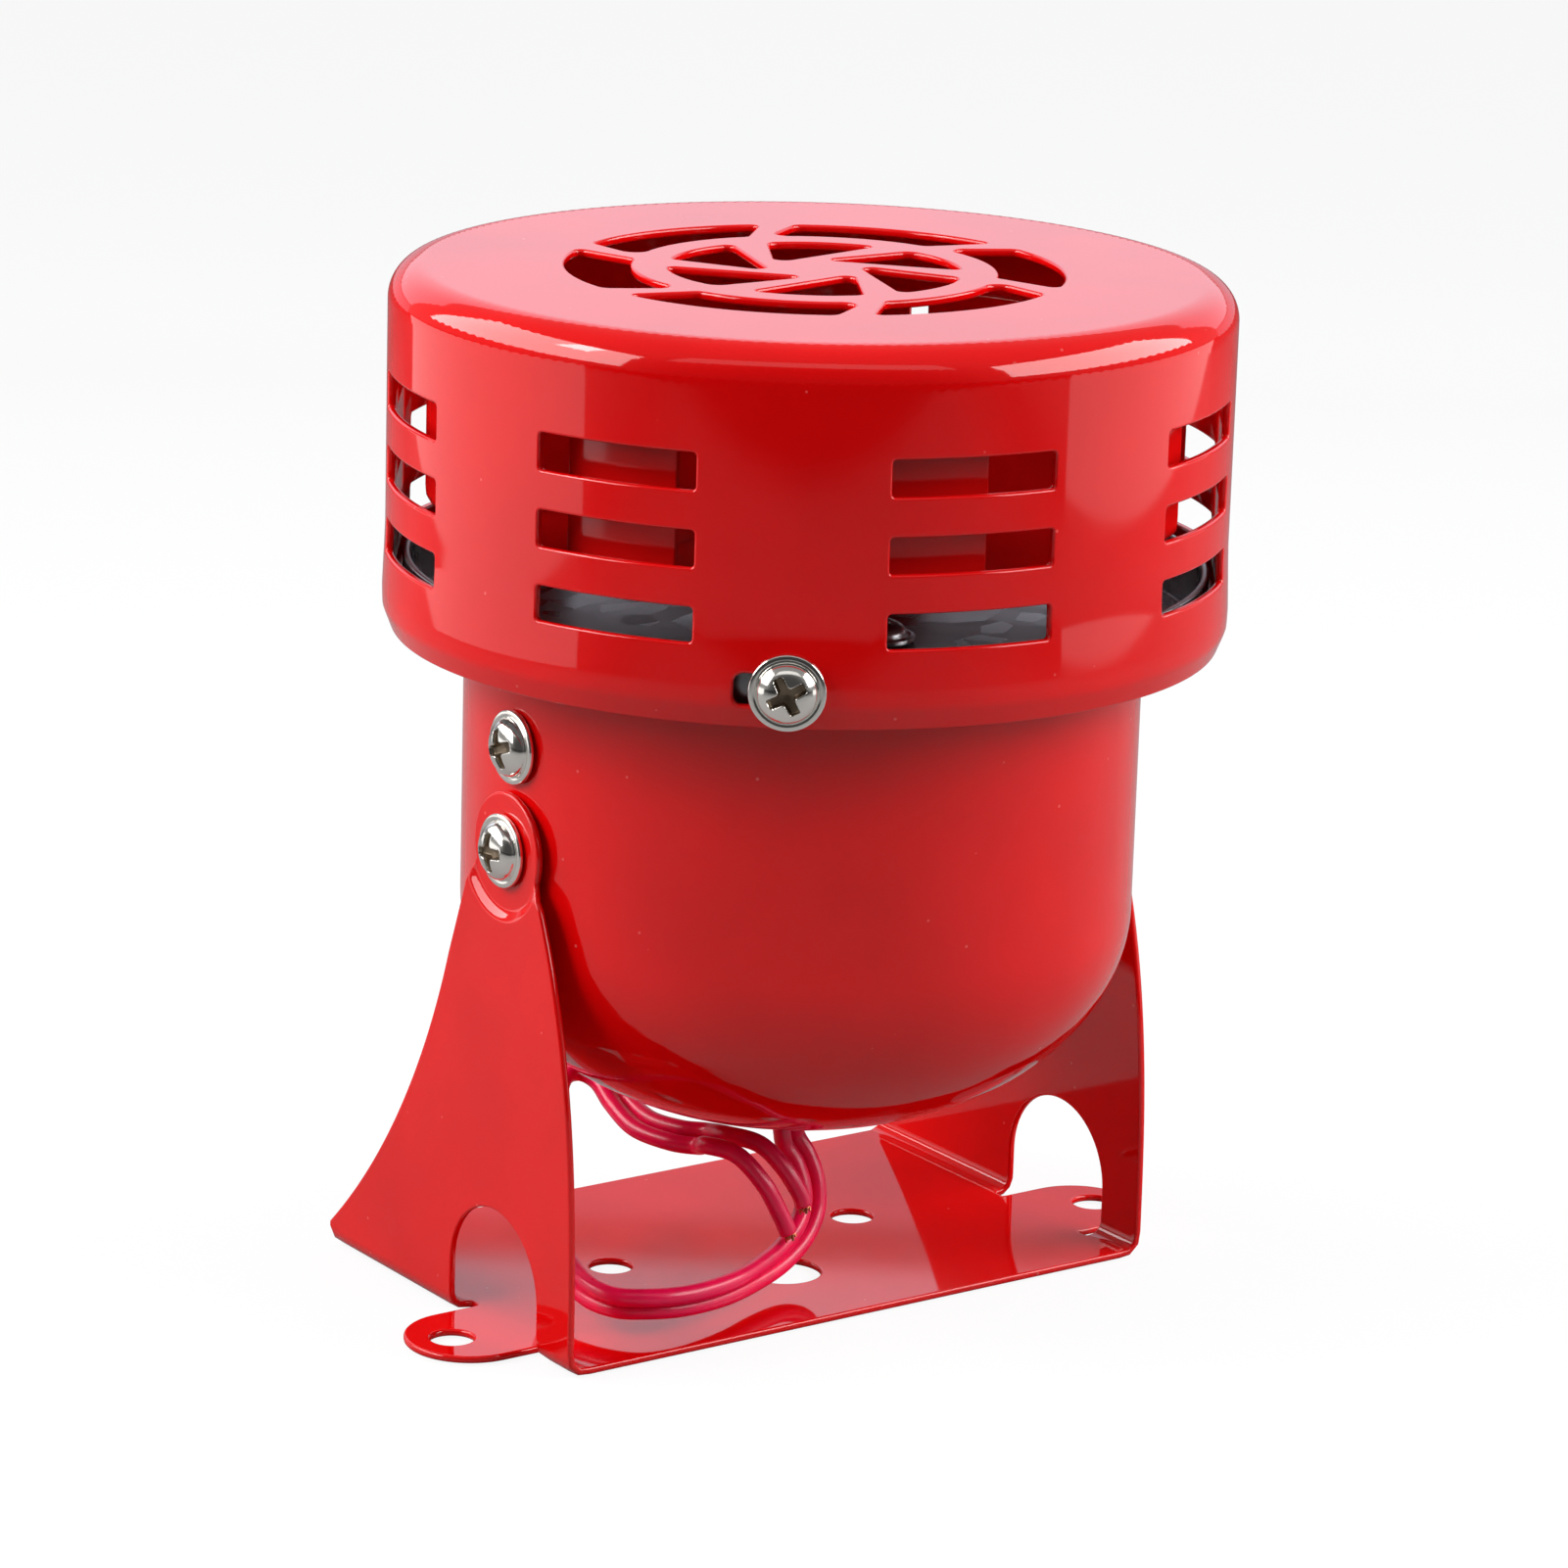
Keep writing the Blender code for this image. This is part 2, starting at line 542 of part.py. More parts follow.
def shell(bm, rings, angles, kinds, open_end=False):
    """Build a spun sheet from rings and columns, leaving out the cells where the kinds match."""
    outer = [[bm.verts.new(polar(r[0], a, r[1])) for a in angles] for r in rings]
    inner = [[bm.verts.new(polar(r[2], a, r[3])) for a in angles] for r in rings]
    rows = len(rings) - 1
    count = len(angles)

    def solid(row, column):
        return rings[row][4] == "wall" or rings[row][4] != kinds[column % count]

    for row in range(rows):
        for column in range(count):
            if not solid(row, column):
                continue
            ahead = (column + 1) % count
            for side in (outer, inner):
                bm.faces.new((side[row][column], side[row][ahead],
                              side[row + 1][ahead], side[row + 1][column]))
            if not solid(row, column + 1):
                bm.faces.new((outer[row][ahead], outer[row + 1][ahead],
                              inner[row + 1][ahead], inner[row][ahead]))
            if not solid(row, column - 1):
                bm.faces.new((outer[row][column], outer[row + 1][column],
                              inner[row + 1][column], inner[row][column]))
            if row == 0 or not solid(row - 1, column):
                bm.faces.new((outer[row][column], outer[row][ahead],
                              inner[row][ahead], inner[row][column]))
            last = row == rows - 1
            if (last and not open_end) or (not last and not solid(row + 1, column)):
                bm.faces.new((outer[row + 1][column], outer[row + 1][ahead],
                              inner[row + 1][ahead], inner[row + 1][column]))


def grille_openings():
    """Return the twelve swirled openings of the intake grille as 2D loops."""
    loops = []
    low, high = GRILLE_RING
    outer = [(*p, 0.0) for p in arc((0.0, 0.0), high, 68.2, 119.4, 7)]
    inner = [(*p, 0.0) for p in arc((0.0, 0.0), low, 129.9, 77.0, 7)]
    ring = outer + inner
    for i, radius in ((0, 0.8), (6, 1.4), (7, 1.6), (13, 1.0)):
        ring[i] = (*ring[i][:2], radius * MM)
    web = [(*p, 0.0) for p in arc((0.0, 0.0), GRILLE_WEB_R, 89.7, 133.6, 6)]
    web.append((*GRILLE_APEX, 1.1 * MM))
    web[0] = (*web[0][:2], 0.9 * MM)
    web[5] = (*web[5][:2], 1.5 * MM)
    for i in range(BLADES):
        turn = Matrix.Rotation(math.radians(i * 360.0 / BLADES), 2)
        for shape in (ring, web):
            loops.append([tuple(turn @ Vector(p)) for p in rounded(shape, 2)])
    return loops


def build_cap():
    """Build the slotted cap with its swirl grille."""
    bm = bmesh.new()
    angles, kinds = cap_columns()
    shell(bm, cap_rings(), angles, kinds, open_end=True)
    rim = [tuple(polar(GRILLE_RING_R, a).xy) for a in angles]
    edge = GRILLE_RING_R - 0.2 * MM
    thick_sheet(bm, triangulate(rim, grille_openings()),
                lambda p: Vector((*p, CAP_TOP)), lambda p: Vector((*p, CAP_TOP - CAP_SHEET)),
                lambda p: p.length > edge)
    finish("slotted_cap", bm, (RED, 0.0, 0.22))


# --- housing and pan -------------------------------------------------------
def build_housing():
    """Draw the motor housing cup with its domed bottom, and drill its holes."""
    profile = []
    steps = 7
    for i in range(steps + 1):
        angle = math.radians(90.0 * i / steps)
        flat = HOUSING_R - HOUSING_DOME_R
        profile.append((flat + HOUSING_DOME_R * math.sin(angle),
                        HOUSING_BOTTOM + HOUSING_DOME_H * (1.0 - math.cos(angle))))
    profile.append((HOUSING_R, HOUSING_TOP))
    inside_wall = [(r - HOUSING_SHEET * (r - flat) / HOUSING_DOME_R, z + HOUSING_SHEET
                    * (1.0 - (r - flat) / HOUSING_DOME_R) ** 0.5) for r, z in profile[:-1]]
    profile.append((HOUSING_R - HOUSING_SHEET, HOUSING_TOP))
    profile += reversed(inside_wall)
    profile = [(0.0, HOUSING_BOTTOM)] + profile + [(0.0, HOUSING_BOTTOM + HOUSING_SHEET)]
    bm = bmesh.new()
    lathe(bm, profile, 40)
    housing = finish("motor_housing", bm, (RED, 0.0, 0.25))
    drills = bmesh.new()
    for z in (PIVOT_Z, HOUSING_SCREW_Z):
        for sign in (1.0, -1.0):
            drill(drills, HOLE_R, 8 * MM, facing((sign, 0.0, 0.0), (sign * (HOUSING_R - 4 * MM), 0.0, z)))
    drill(drills, GROMMET_HOLE_R, 8 * MM, Matrix.Translation((0.0, 0.0, HOUSING_BOTTOM - 3 * MM)))
    combine(housing, drills, "DIFFERENCE")


def build_pan():
    """Build the zinc-plated pan: disc, upturned rim, and a collar that fits in the housing."""
    collar_out = HOUSING_R - HOUSING_SHEET - GAP
    collar_in = collar_out - PAN_SHEET
    floor = PAN_Z + PAN_SHEET
    profile = [(PAN_HOLE_R, PAN_Z), (collar_in, PAN_Z), (collar_in, COLLAR_BOTTOM),
               (collar_out, COLLAR_BOTTOM), (collar_out, PAN_Z), (PAN_R - 0.5 * MM, PAN_Z),
               (PAN_R, PAN_Z + 0.5 * MM), (PAN_R, PAN_TOP), (PAN_R - PAN_SHEET, PAN_TOP),
               (PAN_R - PAN_SHEET, floor), (PAN_HOLE_R, floor)]
    bm = bmesh.new()
    lathe(bm, profile, 40)
    pan = finish("mounting_pan", bm, (ZINC, 1.0, 0.35))
    drills = bmesh.new()
    depth = 6 * MM
    for angle in (CAP_SCREW_ANGLE, CAP_SCREW_ANGLE + 180.0):
        start = polar(PAN_R - 3.4 * MM, angle, CAP_SCREW_Z)
        drill(drills, HOLE_R, depth, facing(polar(1.0, angle), start))
    for sign in (1.0, -1.0):
        start = (sign * (collar_in - 2.4 * MM), 0.0, HOUSING_SCREW_Z)
        drill(drills, HOLE_R, depth, facing((sign, 0.0, 0.0), start))
        drill(drills, HOLE_R, depth, Matrix.Translation((0.0, sign * MOTOR_SCREW_Y, PAN_Z - 2 * MM)))
    combine(pan, drills, "DIFFERENCE")


# --- fasteners -------------------------------------------------------------
def build_screw(name, direction, seat, shank):
    """Build a cross-recess pan head screw with a flange; its seat is where the flange rests."""
    matrix = facing(direction, seat)
    profile = [(0.0, -shank), (SHANK_R - 0.3 * MM, -shank), (SHANK_R, -shank + 0.5 * MM),
               (SHANK_R, 0.0), (FLANGE_R, 0.0), (FLANGE_R, FLANGE_H), (HEAD_R, FLANGE_H),
               (HEAD_R * 0.93, HEAD_H * 0.64), (HEAD_R * 0.62, HEAD_H * 0.92), (0.0, HEAD_H)]
    bm = bmesh.new()
    lathe(bm, profile, 12, matrix)
    screw = finish(name, bm, (NICKEL, 1.0, 0.2), smooth=40.0)
    recess = bmesh.new()
    half_long = 2.1 * MM
    half_thin = 0.55 * MM
    cross = []
    for i in range(4):
        turn = Matrix.Rotation(math.radians(90.0 * i), 2)
        for corner in ((half_thin, -half_thin), (half_long, -half_thin), (half_long, half_thin)):
            cross.append(turn @ Vector(corner))
    top = [recess.verts.new(matrix @ Vector((*p, HEAD_H + MM))) for p in cross]
    low = [recess.verts.new(matrix @ Vector((*(p * 0.8), HEAD_H - 1.5 * MM))) for p in cross]
    recess.faces.new(top)
    recess.faces.new(list(reversed(low)))
    for i in range(len(top)):
        j = (i + 1) % len(top)
        recess.faces.new((top[i], low[i], low[j], top[j]))
    combine(screw, recess, "DIFFERENCE")


def build_nut(name, direction, seat, across=NUT_AF, height=NUT_H, bore=HOLE_R, look=(ZINC, 1.0, 0.3)):
    """Build a hexagon nut that extends from its seat along a direction."""
    hexagon = circle((0.0, 0.0), across / math.sqrt(3.0), 6)
    bm = bmesh.new()
    slab(bm, hexagon, 0.0, height, [circle((0.0, 0.0), bore, 12)])
    bm.transform(facing(direction, seat))
    finish(name, bm, look)


def build_washer(name, direction, seat, outer, height, bore, look):
    """Build a plain ring that extends from its seat along a direction."""
    bm = bmesh.new()
    profile = [(bore, 0.0), (outer, 0.0), (outer, height), (bore, height)]
    lathe(bm, profile, 18, facing(direction, seat))
    finish(name, bm, look)


def build_fasteners():
    """Build the pairs of cap, housing and pivot screws with their nuts and lock washers."""
    housing_in = HOUSING_R - HOUSING_SHEET - GAP
    collar_in = housing_in - PAN_SHEET
    pad_face = ARM_X - PAD_STEP
    for side, sign in (("left", -1.0), ("right", 1.0)):
        outward = Vector((sign, 0.0, 0.0))
        low = Vector((0.0, 0.0, PIVOT_Z))
        high = Vector((0.0, 0.0, HOUSING_SCREW_Z))
        build_screw("pivot_screw_" + side, outward, low + outward * (pad_face + GAP), 7.0 * MM)
        build_washer("lock_washer_" + side, -outward, low + outward * (housing_in - 0.25 * MM),
                     3.2 * MM, 0.7 * MM, HOLE_R, (STEEL, 1.0, 0.35))
        build_nut("pivot_nut_" + side, -outward, low + outward * (housing_in - 1.25 * MM))
        build_screw("housing_screw_" + side, outward, high + outward * (HOUSING_R + GAP), 7.0 * MM)
        build_nut("housing_nut_" + side, -outward, high + outward * (collar_in - GAP - 0.2 * MM))
    for side, angle in (("front", CAP_SCREW_ANGLE), ("back", CAP_SCREW_ANGLE + 180.0)):
        outward = polar(1.0, angle)
        level = Vector((0.0, 0.0, CAP_SCREW_Z))
        build_screw("cap_screw_" + side, outward, level + outward * (CAP_R + GAP), 7.5 * MM)
        build_nut("cap_nut_" + side, -outward, level + outward * (PAN_R - PAN_SHEET - 0.6 * MM))


# --- leads -----------------------------------------------------------------
def lead_paths():
    """Return the two leads' waypoints: side by side round the loop, then apart to their cut ends."""
    loop = [Vector(p) * MM for p in LEAD_LOOP]
    lean = math.radians(LEAD_LEAN)
    paths = []
    for sign, tail in ((1.0, OUTER_TAIL), (-1.0, INNER_TAIL)):
        path = [Vector((sign * x, sign * y, z)) * MM for x, y, z in LEAD_HEAD]
        for i, point in enumerate(loop):
            ahead = loop[min(i + 1, len(loop) - 1)] - loop[max(i - 1, 0)]
            ahead.normalize()
            out = ahead.cross(LOOP_AXIS).normalized()
            offset = out * math.cos(lean) + out.cross(ahead) * math.sin(lean)
            path.append(point + offset * sign * LEAD_SPACING / 2.0)
        paths.append(path + [Vector(p) * MM for p in tail])
    return paths


def build_leads():
    """Build the two insulated leads, which leave through the grommet and end in bare strands."""
    for name, waypoints in zip(("outer", "inner"), lead_paths()):
        path = spline(waypoints, 2)
        bm = bmesh.new()
        tube(bm, path, LEAD_R, 6)
        finish("lead_" + name, bm, (LEAD, 0.0, 0.3))
        end = path[-1]
        ahead = (end - path[-2]).normalized()
        bm = bmesh.new()
        lobes = []
        for i in range(14):
            reach = (0.78 if i % 2 else 0.6) * MM
            lobes.append(tuple(polar(reach, i * 360.0 / 14).xy))
        slab(bm, lobes, 0.0, STRAND_LENGTH)
        bm.transform(facing(ahead, end + ahead * GAP))
        finish("strand_end_" + name, bm, (COPPER, 1.0, 0.35))
    bm = bmesh.new()
    lathe(bm, [(r * MM, HOUSING_BOTTOM + z * MM) for r, z in GROMMET], 18)
    finish("cable_grommet", bm, (RUBBER, 0.0, 0.6))


# --- motor -----------------------------------------------------------------
def spun(name, points, look, segments=24, origin=PIVOT):
    """Spin a millimetre outline about the shaft axis."""
    bm = bmesh.new()
    lathe(bm, [(r * MM, z * MM) for r, z in points], segments)
    return finish(name, bm, look, origin)


def bent_strip(name, outline, width, sign, look):
    """Build a strip bent from sheet: a millimetre (x, z) outline, as wide along Y, on one side."""
    bm = bmesh.new()
    slab(bm, [(x * MM, z * MM) for x, z in outline], -width / 2.0, width / 2.0)
    bm.transform(Matrix.Rotation(math.radians(90.0), 4, "X"))
    if sign < 0.0:
        bm.transform(Matrix.Rotation(math.radians(180.0), 4, "Z"))
    finish(name, bm, look)


def build_stator():
    """Build the still parts of the motor, which hangs below the pan."""
    can = spun("motor_can", CAN, (STEEL, 1.0, 0.3), 32)
    isolator = spun("isolator_ring", ISOLATOR, (RUBBER, 0.0, 0.6))
    for obj in (can, isolator):
        drills = bmesh.new()
        for sign in (1.0, -1.0):
            drill(drills, HOLE_R, 20 * MM, Matrix.Translation((0.0, sign * MOTOR_SCREW_Y, CORE_HIGH)))
        combine(obj, drills, "DIFFERENCE")
    inner, outer = MAGNET_RADII
    for side, sign in (("front", -1.0), ("back", 1.0)):
        seat = Vector((0.0, sign * MOTOR_SCREW_Y, PAN_Z + PAN_SHEET + GAP))
        build_screw("motor_screw_" + side, (0.0, 0.0, 1.0), seat, MOTOR_SCREW_SHANK)
        first = sign * 90.0 - MAGNET_ARC / 2.0
        last = first + MAGNET_ARC
        bm = bmesh.new()
        slab(bm, arc((0.0, 0.0), outer, first, last, 11) + arc((0.0, 0.0), inner, last, first, 11),
             *MAGNET_HEIGHTS)
        finish("magnet_" + side, bm, (FERRITE, 0.0, 0.5))
    spun("end_bell", END_BELL, (NYLON, 0.0, 0.5), 32)
    spun("bearing_lower", LOWER_BUSH, (BRONZE, 1.0, 0.4))
    spun("bearing_upper", UPPER_BUSH, (BRONZE, 1.0, 0.4))
    for side, sign in (("left", -1.0), ("right", 1.0)):
        bm = bmesh.new()
        box(bm, BRUSH_SIZE, (sign * BRUSH_AT[0], 0.0, BRUSH_AT[1]))
        finish("brush_" + side, bm, (CARBON, 0.0, 0.5))
        bent_strip("brush_spring_" + side, BRUSH_SPRING, 3.0 * MM, sign, (BRASS, 1.0, 0.3))
        bent_strip("terminal_" + side, TERMINAL, 3.2 * MM, sign, (BRASS, 1.0, 0.3))


def build_armature():
    """Build the shaft, the slotted core, its winding and the commutator."""
    spun("motor_shaft", SHAFT, (STEEL, 1.0, 0.2), 16)
    outline = []
    for i in range(SLOTS):
        middle = i * PITCH
        outline += arc((0.0, 0.0), CORE_R, middle + SLOT_MOUTH, middle + PITCH - SLOT_MOUTH, 5)
        turn = Matrix.Rotation(math.radians(middle + PITCH), 2)
        outline += [tuple(turn @ Vector((x * MM, y * MM))) for x, y in CORE_SLOT]
    bm = bmesh.new()
    slab(bm, outline, CORE_LOW, CORE_HIGH, [circle((0.0, 0.0), BORE_R, 16)])
    finish("armature_core", bm, (STEEL, 1.0, 0.4))
    winding = spun("armature_winding", LOWER_COILS, (ENAMEL, 0.4, 0.35))
    bars = bmesh.new()
    for i in range(SLOTS):
        box(bars, COIL_SIZE, polar(COIL_R, i * PITCH, (CORE_LOW + CORE_HIGH) / 2.0), i * PITCH)
    combine(winding, bars, "UNION")
    top = bmesh.new()
    lathe(top, [(r * MM, z * MM) for r, z in UPPER_COILS], 24)
    combine(winding, top, "UNION")
    spun("commutator", COMMUTATOR, (COPPER, 1.0, 0.3))


# --- rotor -----------------------------------------------------------------
def build_rotor():
    """Build the chopper drum: a disc with eight upright tabs, and a vane behind each."""
    angles = []
    kinds = []
    for i in range(SLOTS):
        start = TAB_CENTRE + i * PITCH - TAB_WIDTH / 2.0
        for k in range(3):
            angles.append(start + TAB_WIDTH * k / 3.0)
            kinds.append("tab")
        for k in range(3):
            angles.append(start + TAB_WIDTH + (PITCH - TAB_WIDTH) * k / 3.0)
            kinds.append("window")
    hole = SHAFT_R + 0.7 * MM
    edge = DRUM_R - DRUM_CORNER
    inner = DRUM_R - DRUM_SHEET
    rings = [(hole, DRUM_Z, hole, DRUM_Z + DRUM_SHEET, "wall"),
             (edge, DRUM_Z, edge, DRUM_Z + DRUM_SHEET, "wall"),
             (DRUM_R, DRUM_Z + DRUM_CORNER, inner, DRUM_Z + DRUM_CORNER + 0.2 * MM, "window"),
             (DRUM_R, DRUM_TOP, inner, DRUM_TOP, "wall")]
    bm = bmesh.new()
    shell(bm, rings, angles, kinds)
    rotor = finish("chopper_rotor", bm, (ROTOR_RED, 0.0, 0.3))
    vanes = bmesh.new()
    low = DRUM_Z + DRUM_SHEET / 2.0
    end = DRUM_R - DRUM_SHEET / 2.0
    for i in range(SLOTS):
        angle = TAB_CENTRE + i * PITCH
        centre = polar((VANE_START + end) / 2.0, angle, (low + VANE_TOP) / 2.0)
        box(vanes, (end - VANE_START, DRUM_SHEET, VANE_TOP - low), centre, angle)
    combine(rotor, vanes, "UNION")


def build_hub():
    """Build the hub that carries the drum, its set screw, and the washer and nut above."""
    hub = spun("rotor_hub", HUB, (ALUMINIUM, 1.0, 0.35))
    forward = Vector((0.0, -1.0, 0.0))
    level = Vector((0.0, 0.0, SET_SCREW_Z))
    bore = bmesh.new()
    drill(bore, HOLE_R, 8 * MM, facing(forward, level + forward * 2.0 * MM))
    combine(hub, bore, "DIFFERENCE")
    bm = bmesh.new()
    drill(bm, SHANK_R, 4.4 * MM, facing(forward, level + forward * 2.9 * MM))
    finish("hub_set_screw", bm, (STEEL, 1.0, 0.3))
    up = Vector((0.0, 0.0, 1.0))
    top = DRUM_Z + DRUM_SHEET
    build_washer("rotor_washer", up, up * (top + GAP), 7.0 * MM, 0.9 * MM, BORE_R, (ZINC, 1.0, 0.3))
    build_nut("rotor_nut", up, up * (top + 1.5 * MM), 8.0 * MM, 3.6 * MM, BORE_R)


def main():
    """Clear the scene and build every piece."""
    for obj in list(bpy.data.objects):
        bpy.data.objects.remove(obj, do_unlink=True)
    build_bracket()
    build_cap()
    build_housing()
    build_pan()
    build_fasteners()
    build_leads()
    build_stator()
    build_armature()
    build_rotor()
    build_hub()


main()
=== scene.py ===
"""Alarm siren, visual model: glossy painted sheet metal, plated screws and PVC leads.

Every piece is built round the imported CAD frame: its place and its main sizes are read from the CAD
nodes, and the rest are the small sizes that give it its finish.  Lengths are in metres, angles in
degrees.  X runs along the tilt axis, -Y is the front and +Z is up.
"""
import json
import math

import bmesh
import bpy
import numpy as np
from mathutils import Matrix, Vector
from mathutils.geometry import delaunay_2d_cdt


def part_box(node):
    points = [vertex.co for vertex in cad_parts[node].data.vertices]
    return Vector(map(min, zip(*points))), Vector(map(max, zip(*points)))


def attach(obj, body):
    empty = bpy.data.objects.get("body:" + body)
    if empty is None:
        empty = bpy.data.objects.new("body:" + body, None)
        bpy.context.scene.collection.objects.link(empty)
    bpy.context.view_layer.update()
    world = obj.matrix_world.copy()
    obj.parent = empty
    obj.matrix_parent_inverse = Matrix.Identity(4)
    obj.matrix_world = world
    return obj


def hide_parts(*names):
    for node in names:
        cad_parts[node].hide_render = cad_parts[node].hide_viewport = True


MM = 0.001
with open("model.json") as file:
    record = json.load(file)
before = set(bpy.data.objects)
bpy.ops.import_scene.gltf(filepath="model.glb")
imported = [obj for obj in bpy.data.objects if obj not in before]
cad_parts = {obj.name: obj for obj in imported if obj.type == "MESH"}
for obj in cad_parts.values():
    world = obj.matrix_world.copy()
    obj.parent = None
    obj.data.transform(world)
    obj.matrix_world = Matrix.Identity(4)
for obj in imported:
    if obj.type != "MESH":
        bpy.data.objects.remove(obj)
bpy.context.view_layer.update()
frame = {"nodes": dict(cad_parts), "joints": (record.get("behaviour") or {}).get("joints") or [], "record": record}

NODES = frame["nodes"]
BODY_OF = {node: body for body, nodes in frame["record"]["behaviour"]["bodies"].items() for node in nodes}
JOINT_AT = {joint["name"]: Vector(joint["pos_m"]) for joint in frame["joints"]}


# --- sizes read from the frame ---------------------------------------------
def corners_of(node):
    """Return the corners of a CAD node as an array."""
    return np.array([vert.co for vert in NODES[node].data.vertices])


def radius_of(node):
    """Return how far a CAD node reaches from the shaft axis."""
    return float(np.hypot(*corners_of(node)[:, :2].T).max())


def far_along(node, direction):
    """Return how far a CAD node reaches along a direction from the origin."""
    return float((corners_of(node) @ np.array(direction)).max())


def middle_of(node):
    """Return the middle of a CAD node's box."""
    low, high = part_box(node)
    return (low + high) / 2.0


def heights_of(node):
    """Return the lowest and the highest z of a CAD node."""
    low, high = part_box(node)
    return low.z, high.z


PIVOT_Z = JOINT_AT["head_tilt"].z
CAP_R = radius_of("slotted_cap")
CAP_BOTTOM, CAP_TOP = heights_of("slotted_cap")
HOUSING_R = radius_of("motor_housing")
HOUSING_BOTTOM, HOUSING_TOP = heights_of("motor_housing")
PAN_R = radius_of("mounting_pan")
COLLAR_BOTTOM, PAN_TOP = heights_of("mounting_pan")
BRACKET_LOW, BRACKET_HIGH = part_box("mounting_bracket")
PLATE_FRONT = BRACKET_LOW.y
PLATE_BACK = BRACKET_HIGH.y
TAB_END = BRACKET_HIGH.x
DRUM_R = radius_of("chopper_rotor")
DRUM_BOTTOM, DRUM_TOP = heights_of("chopper_rotor")
CAP_SCREW = middle_of("cap_screw_front")
CAP_SCREW_ANGLE = math.degrees(math.atan2(CAP_SCREW.y, CAP_SCREW.x))
HOUSING_SCREW_Z = middle_of("housing_screw_left").z
MOTOR_SCREW_Y = middle_of("motor_screw_back").y

# --- sheet metal -----------------------------------------------------------
BRACKET_SHEET = 0.9 * MM
CAP_SHEET = 1.0 * MM
HOUSING_SHEET = 0.9 * MM
PAN_SHEET = 0.9 * MM
DRUM_SHEET = 0.9 * MM
EDGE_R = 0.34 * MM                  # how round paint leaves a cut edge
SUPPORT = 0.10 * MM                 # flat margin kept between an edge and the face
HOLE_R = 1.8 * MM

# --- bracket ---------------------------------------------------------------
ARM_X = 42.5 * MM                   # outer face of each arm
BEND_R = 2.4 * MM
FOLD_START = ARM_X - BEND_R
FOLD_LENGTH = (BEND_R - BRACKET_SHEET / 2.0) * math.pi / 2.0
PAD_R = 6.9 * MM
PAD_STEP = 0.8 * MM
PAD_BLEND = 1.7 * MM
REAR_SWEEP = ((104.65 * MM, 75.18 * MM), 98.38 * MM, 227.2, 197.95)     # centre, radius and angles
FRONT_SWEEP = 8.4 * MM              # how far the front edge comes in towards the pad
FRONT_TOP = 55.2                    # height of that, in millimetres
ARCH_R = 9.5 * MM
ARCH_TOP = 15.8 * MM
TAB_R = 7.8 * MM
SLIT_CORNER = 0.35 * MM
FIXING_HOLE_R = 2.6 * MM
CABLE_HOLE_R = 4.6 * MM
TAB_HOLE_X = 48.0 * MM
PLATE_HOLES = ((-18.2 * MM, 11.2 * MM), (18.2 * MM, 11.2 * MM))
CABLE_HOLE = (-0.8 * MM, -0.9 * MM)

# --- cap -------------------------------------------------------------------
CAP_CORNER = 4.2 * MM
# the lip under the wall: swell past the wall, height above the edge, corner radius; in millimetres
CAP_LIP = ((0.0, 12.0, 30.0), (0.3, 4.6, 8.0), (0.25, 2.7, 1.2), (-0.8, 0.0, 0.0))
SLOT_ANGLE = 22.72
SLOT_PITCH = 44.05
SLOT_ROWS = ((91.5 * MM, 95.5 * MM), (100.0 * MM, 104.2 * MM), (108.75 * MM, 113.0 * MM))
SLOT_CORNER = 0.45 * MM
ADJUST_SLOT = (-7.0, 4.4)           # ends of the slot under each cap screw, from the screw
ADJUST_HALF = 1.9 * MM              # half its height
ADJUST_CORNER = 1.2 * MM
BLADES = 6
# sides of the grille's openings: radius, first and last angle, points, and both corner radii
RING_SIDES = ((29.4 * MM, 68.2, 119.4, 24, 0.8 * MM, 1.4 * MM),
              (21.65 * MM, 129.9, 77.0, 24, 1.6 * MM, 1.0 * MM))
WEB_SIDE = (17.4 * MM, 89.7, 133.6, 16, 0.9 * MM, 1.5 * MM)
WEB_TIP = (-5.55 * MM, 1.0 * MM, 1.1 * MM)
OPENING_STEP = 0.9 * MM             # longest side of an opening's outline

# --- housing and pan -------------------------------------------------------
DOME_FLAT_R = 4.0 * MM
DOME_H = 26.5 * MM
GROMMET_HOLE_R = 4.4 * MM
PAN_BORE_R = 9.5 * MM
SHEET_GAP = 0.3 * MM                # between the pan and the housing
DRILL_DEPTH = 6.0 * MM
DRILL_SIDES = 32

# --- rotor -----------------------------------------------------------------
TABS = 8
TAB_PITCH = 360.0 / TABS
TAB_CENTRE = 27.0
TAB_WIDTH = 17.8
DRUM_CORNER = 1.6 * MM
DRUM_HOLE_R = 3.2 * MM
VANE_FOOT = 18.0 * MM               # where a vane starts from the shaft, at the disc and at its top
VANE_HEAD = 22.0 * MM
VANE_TOP = 110.0 * MM

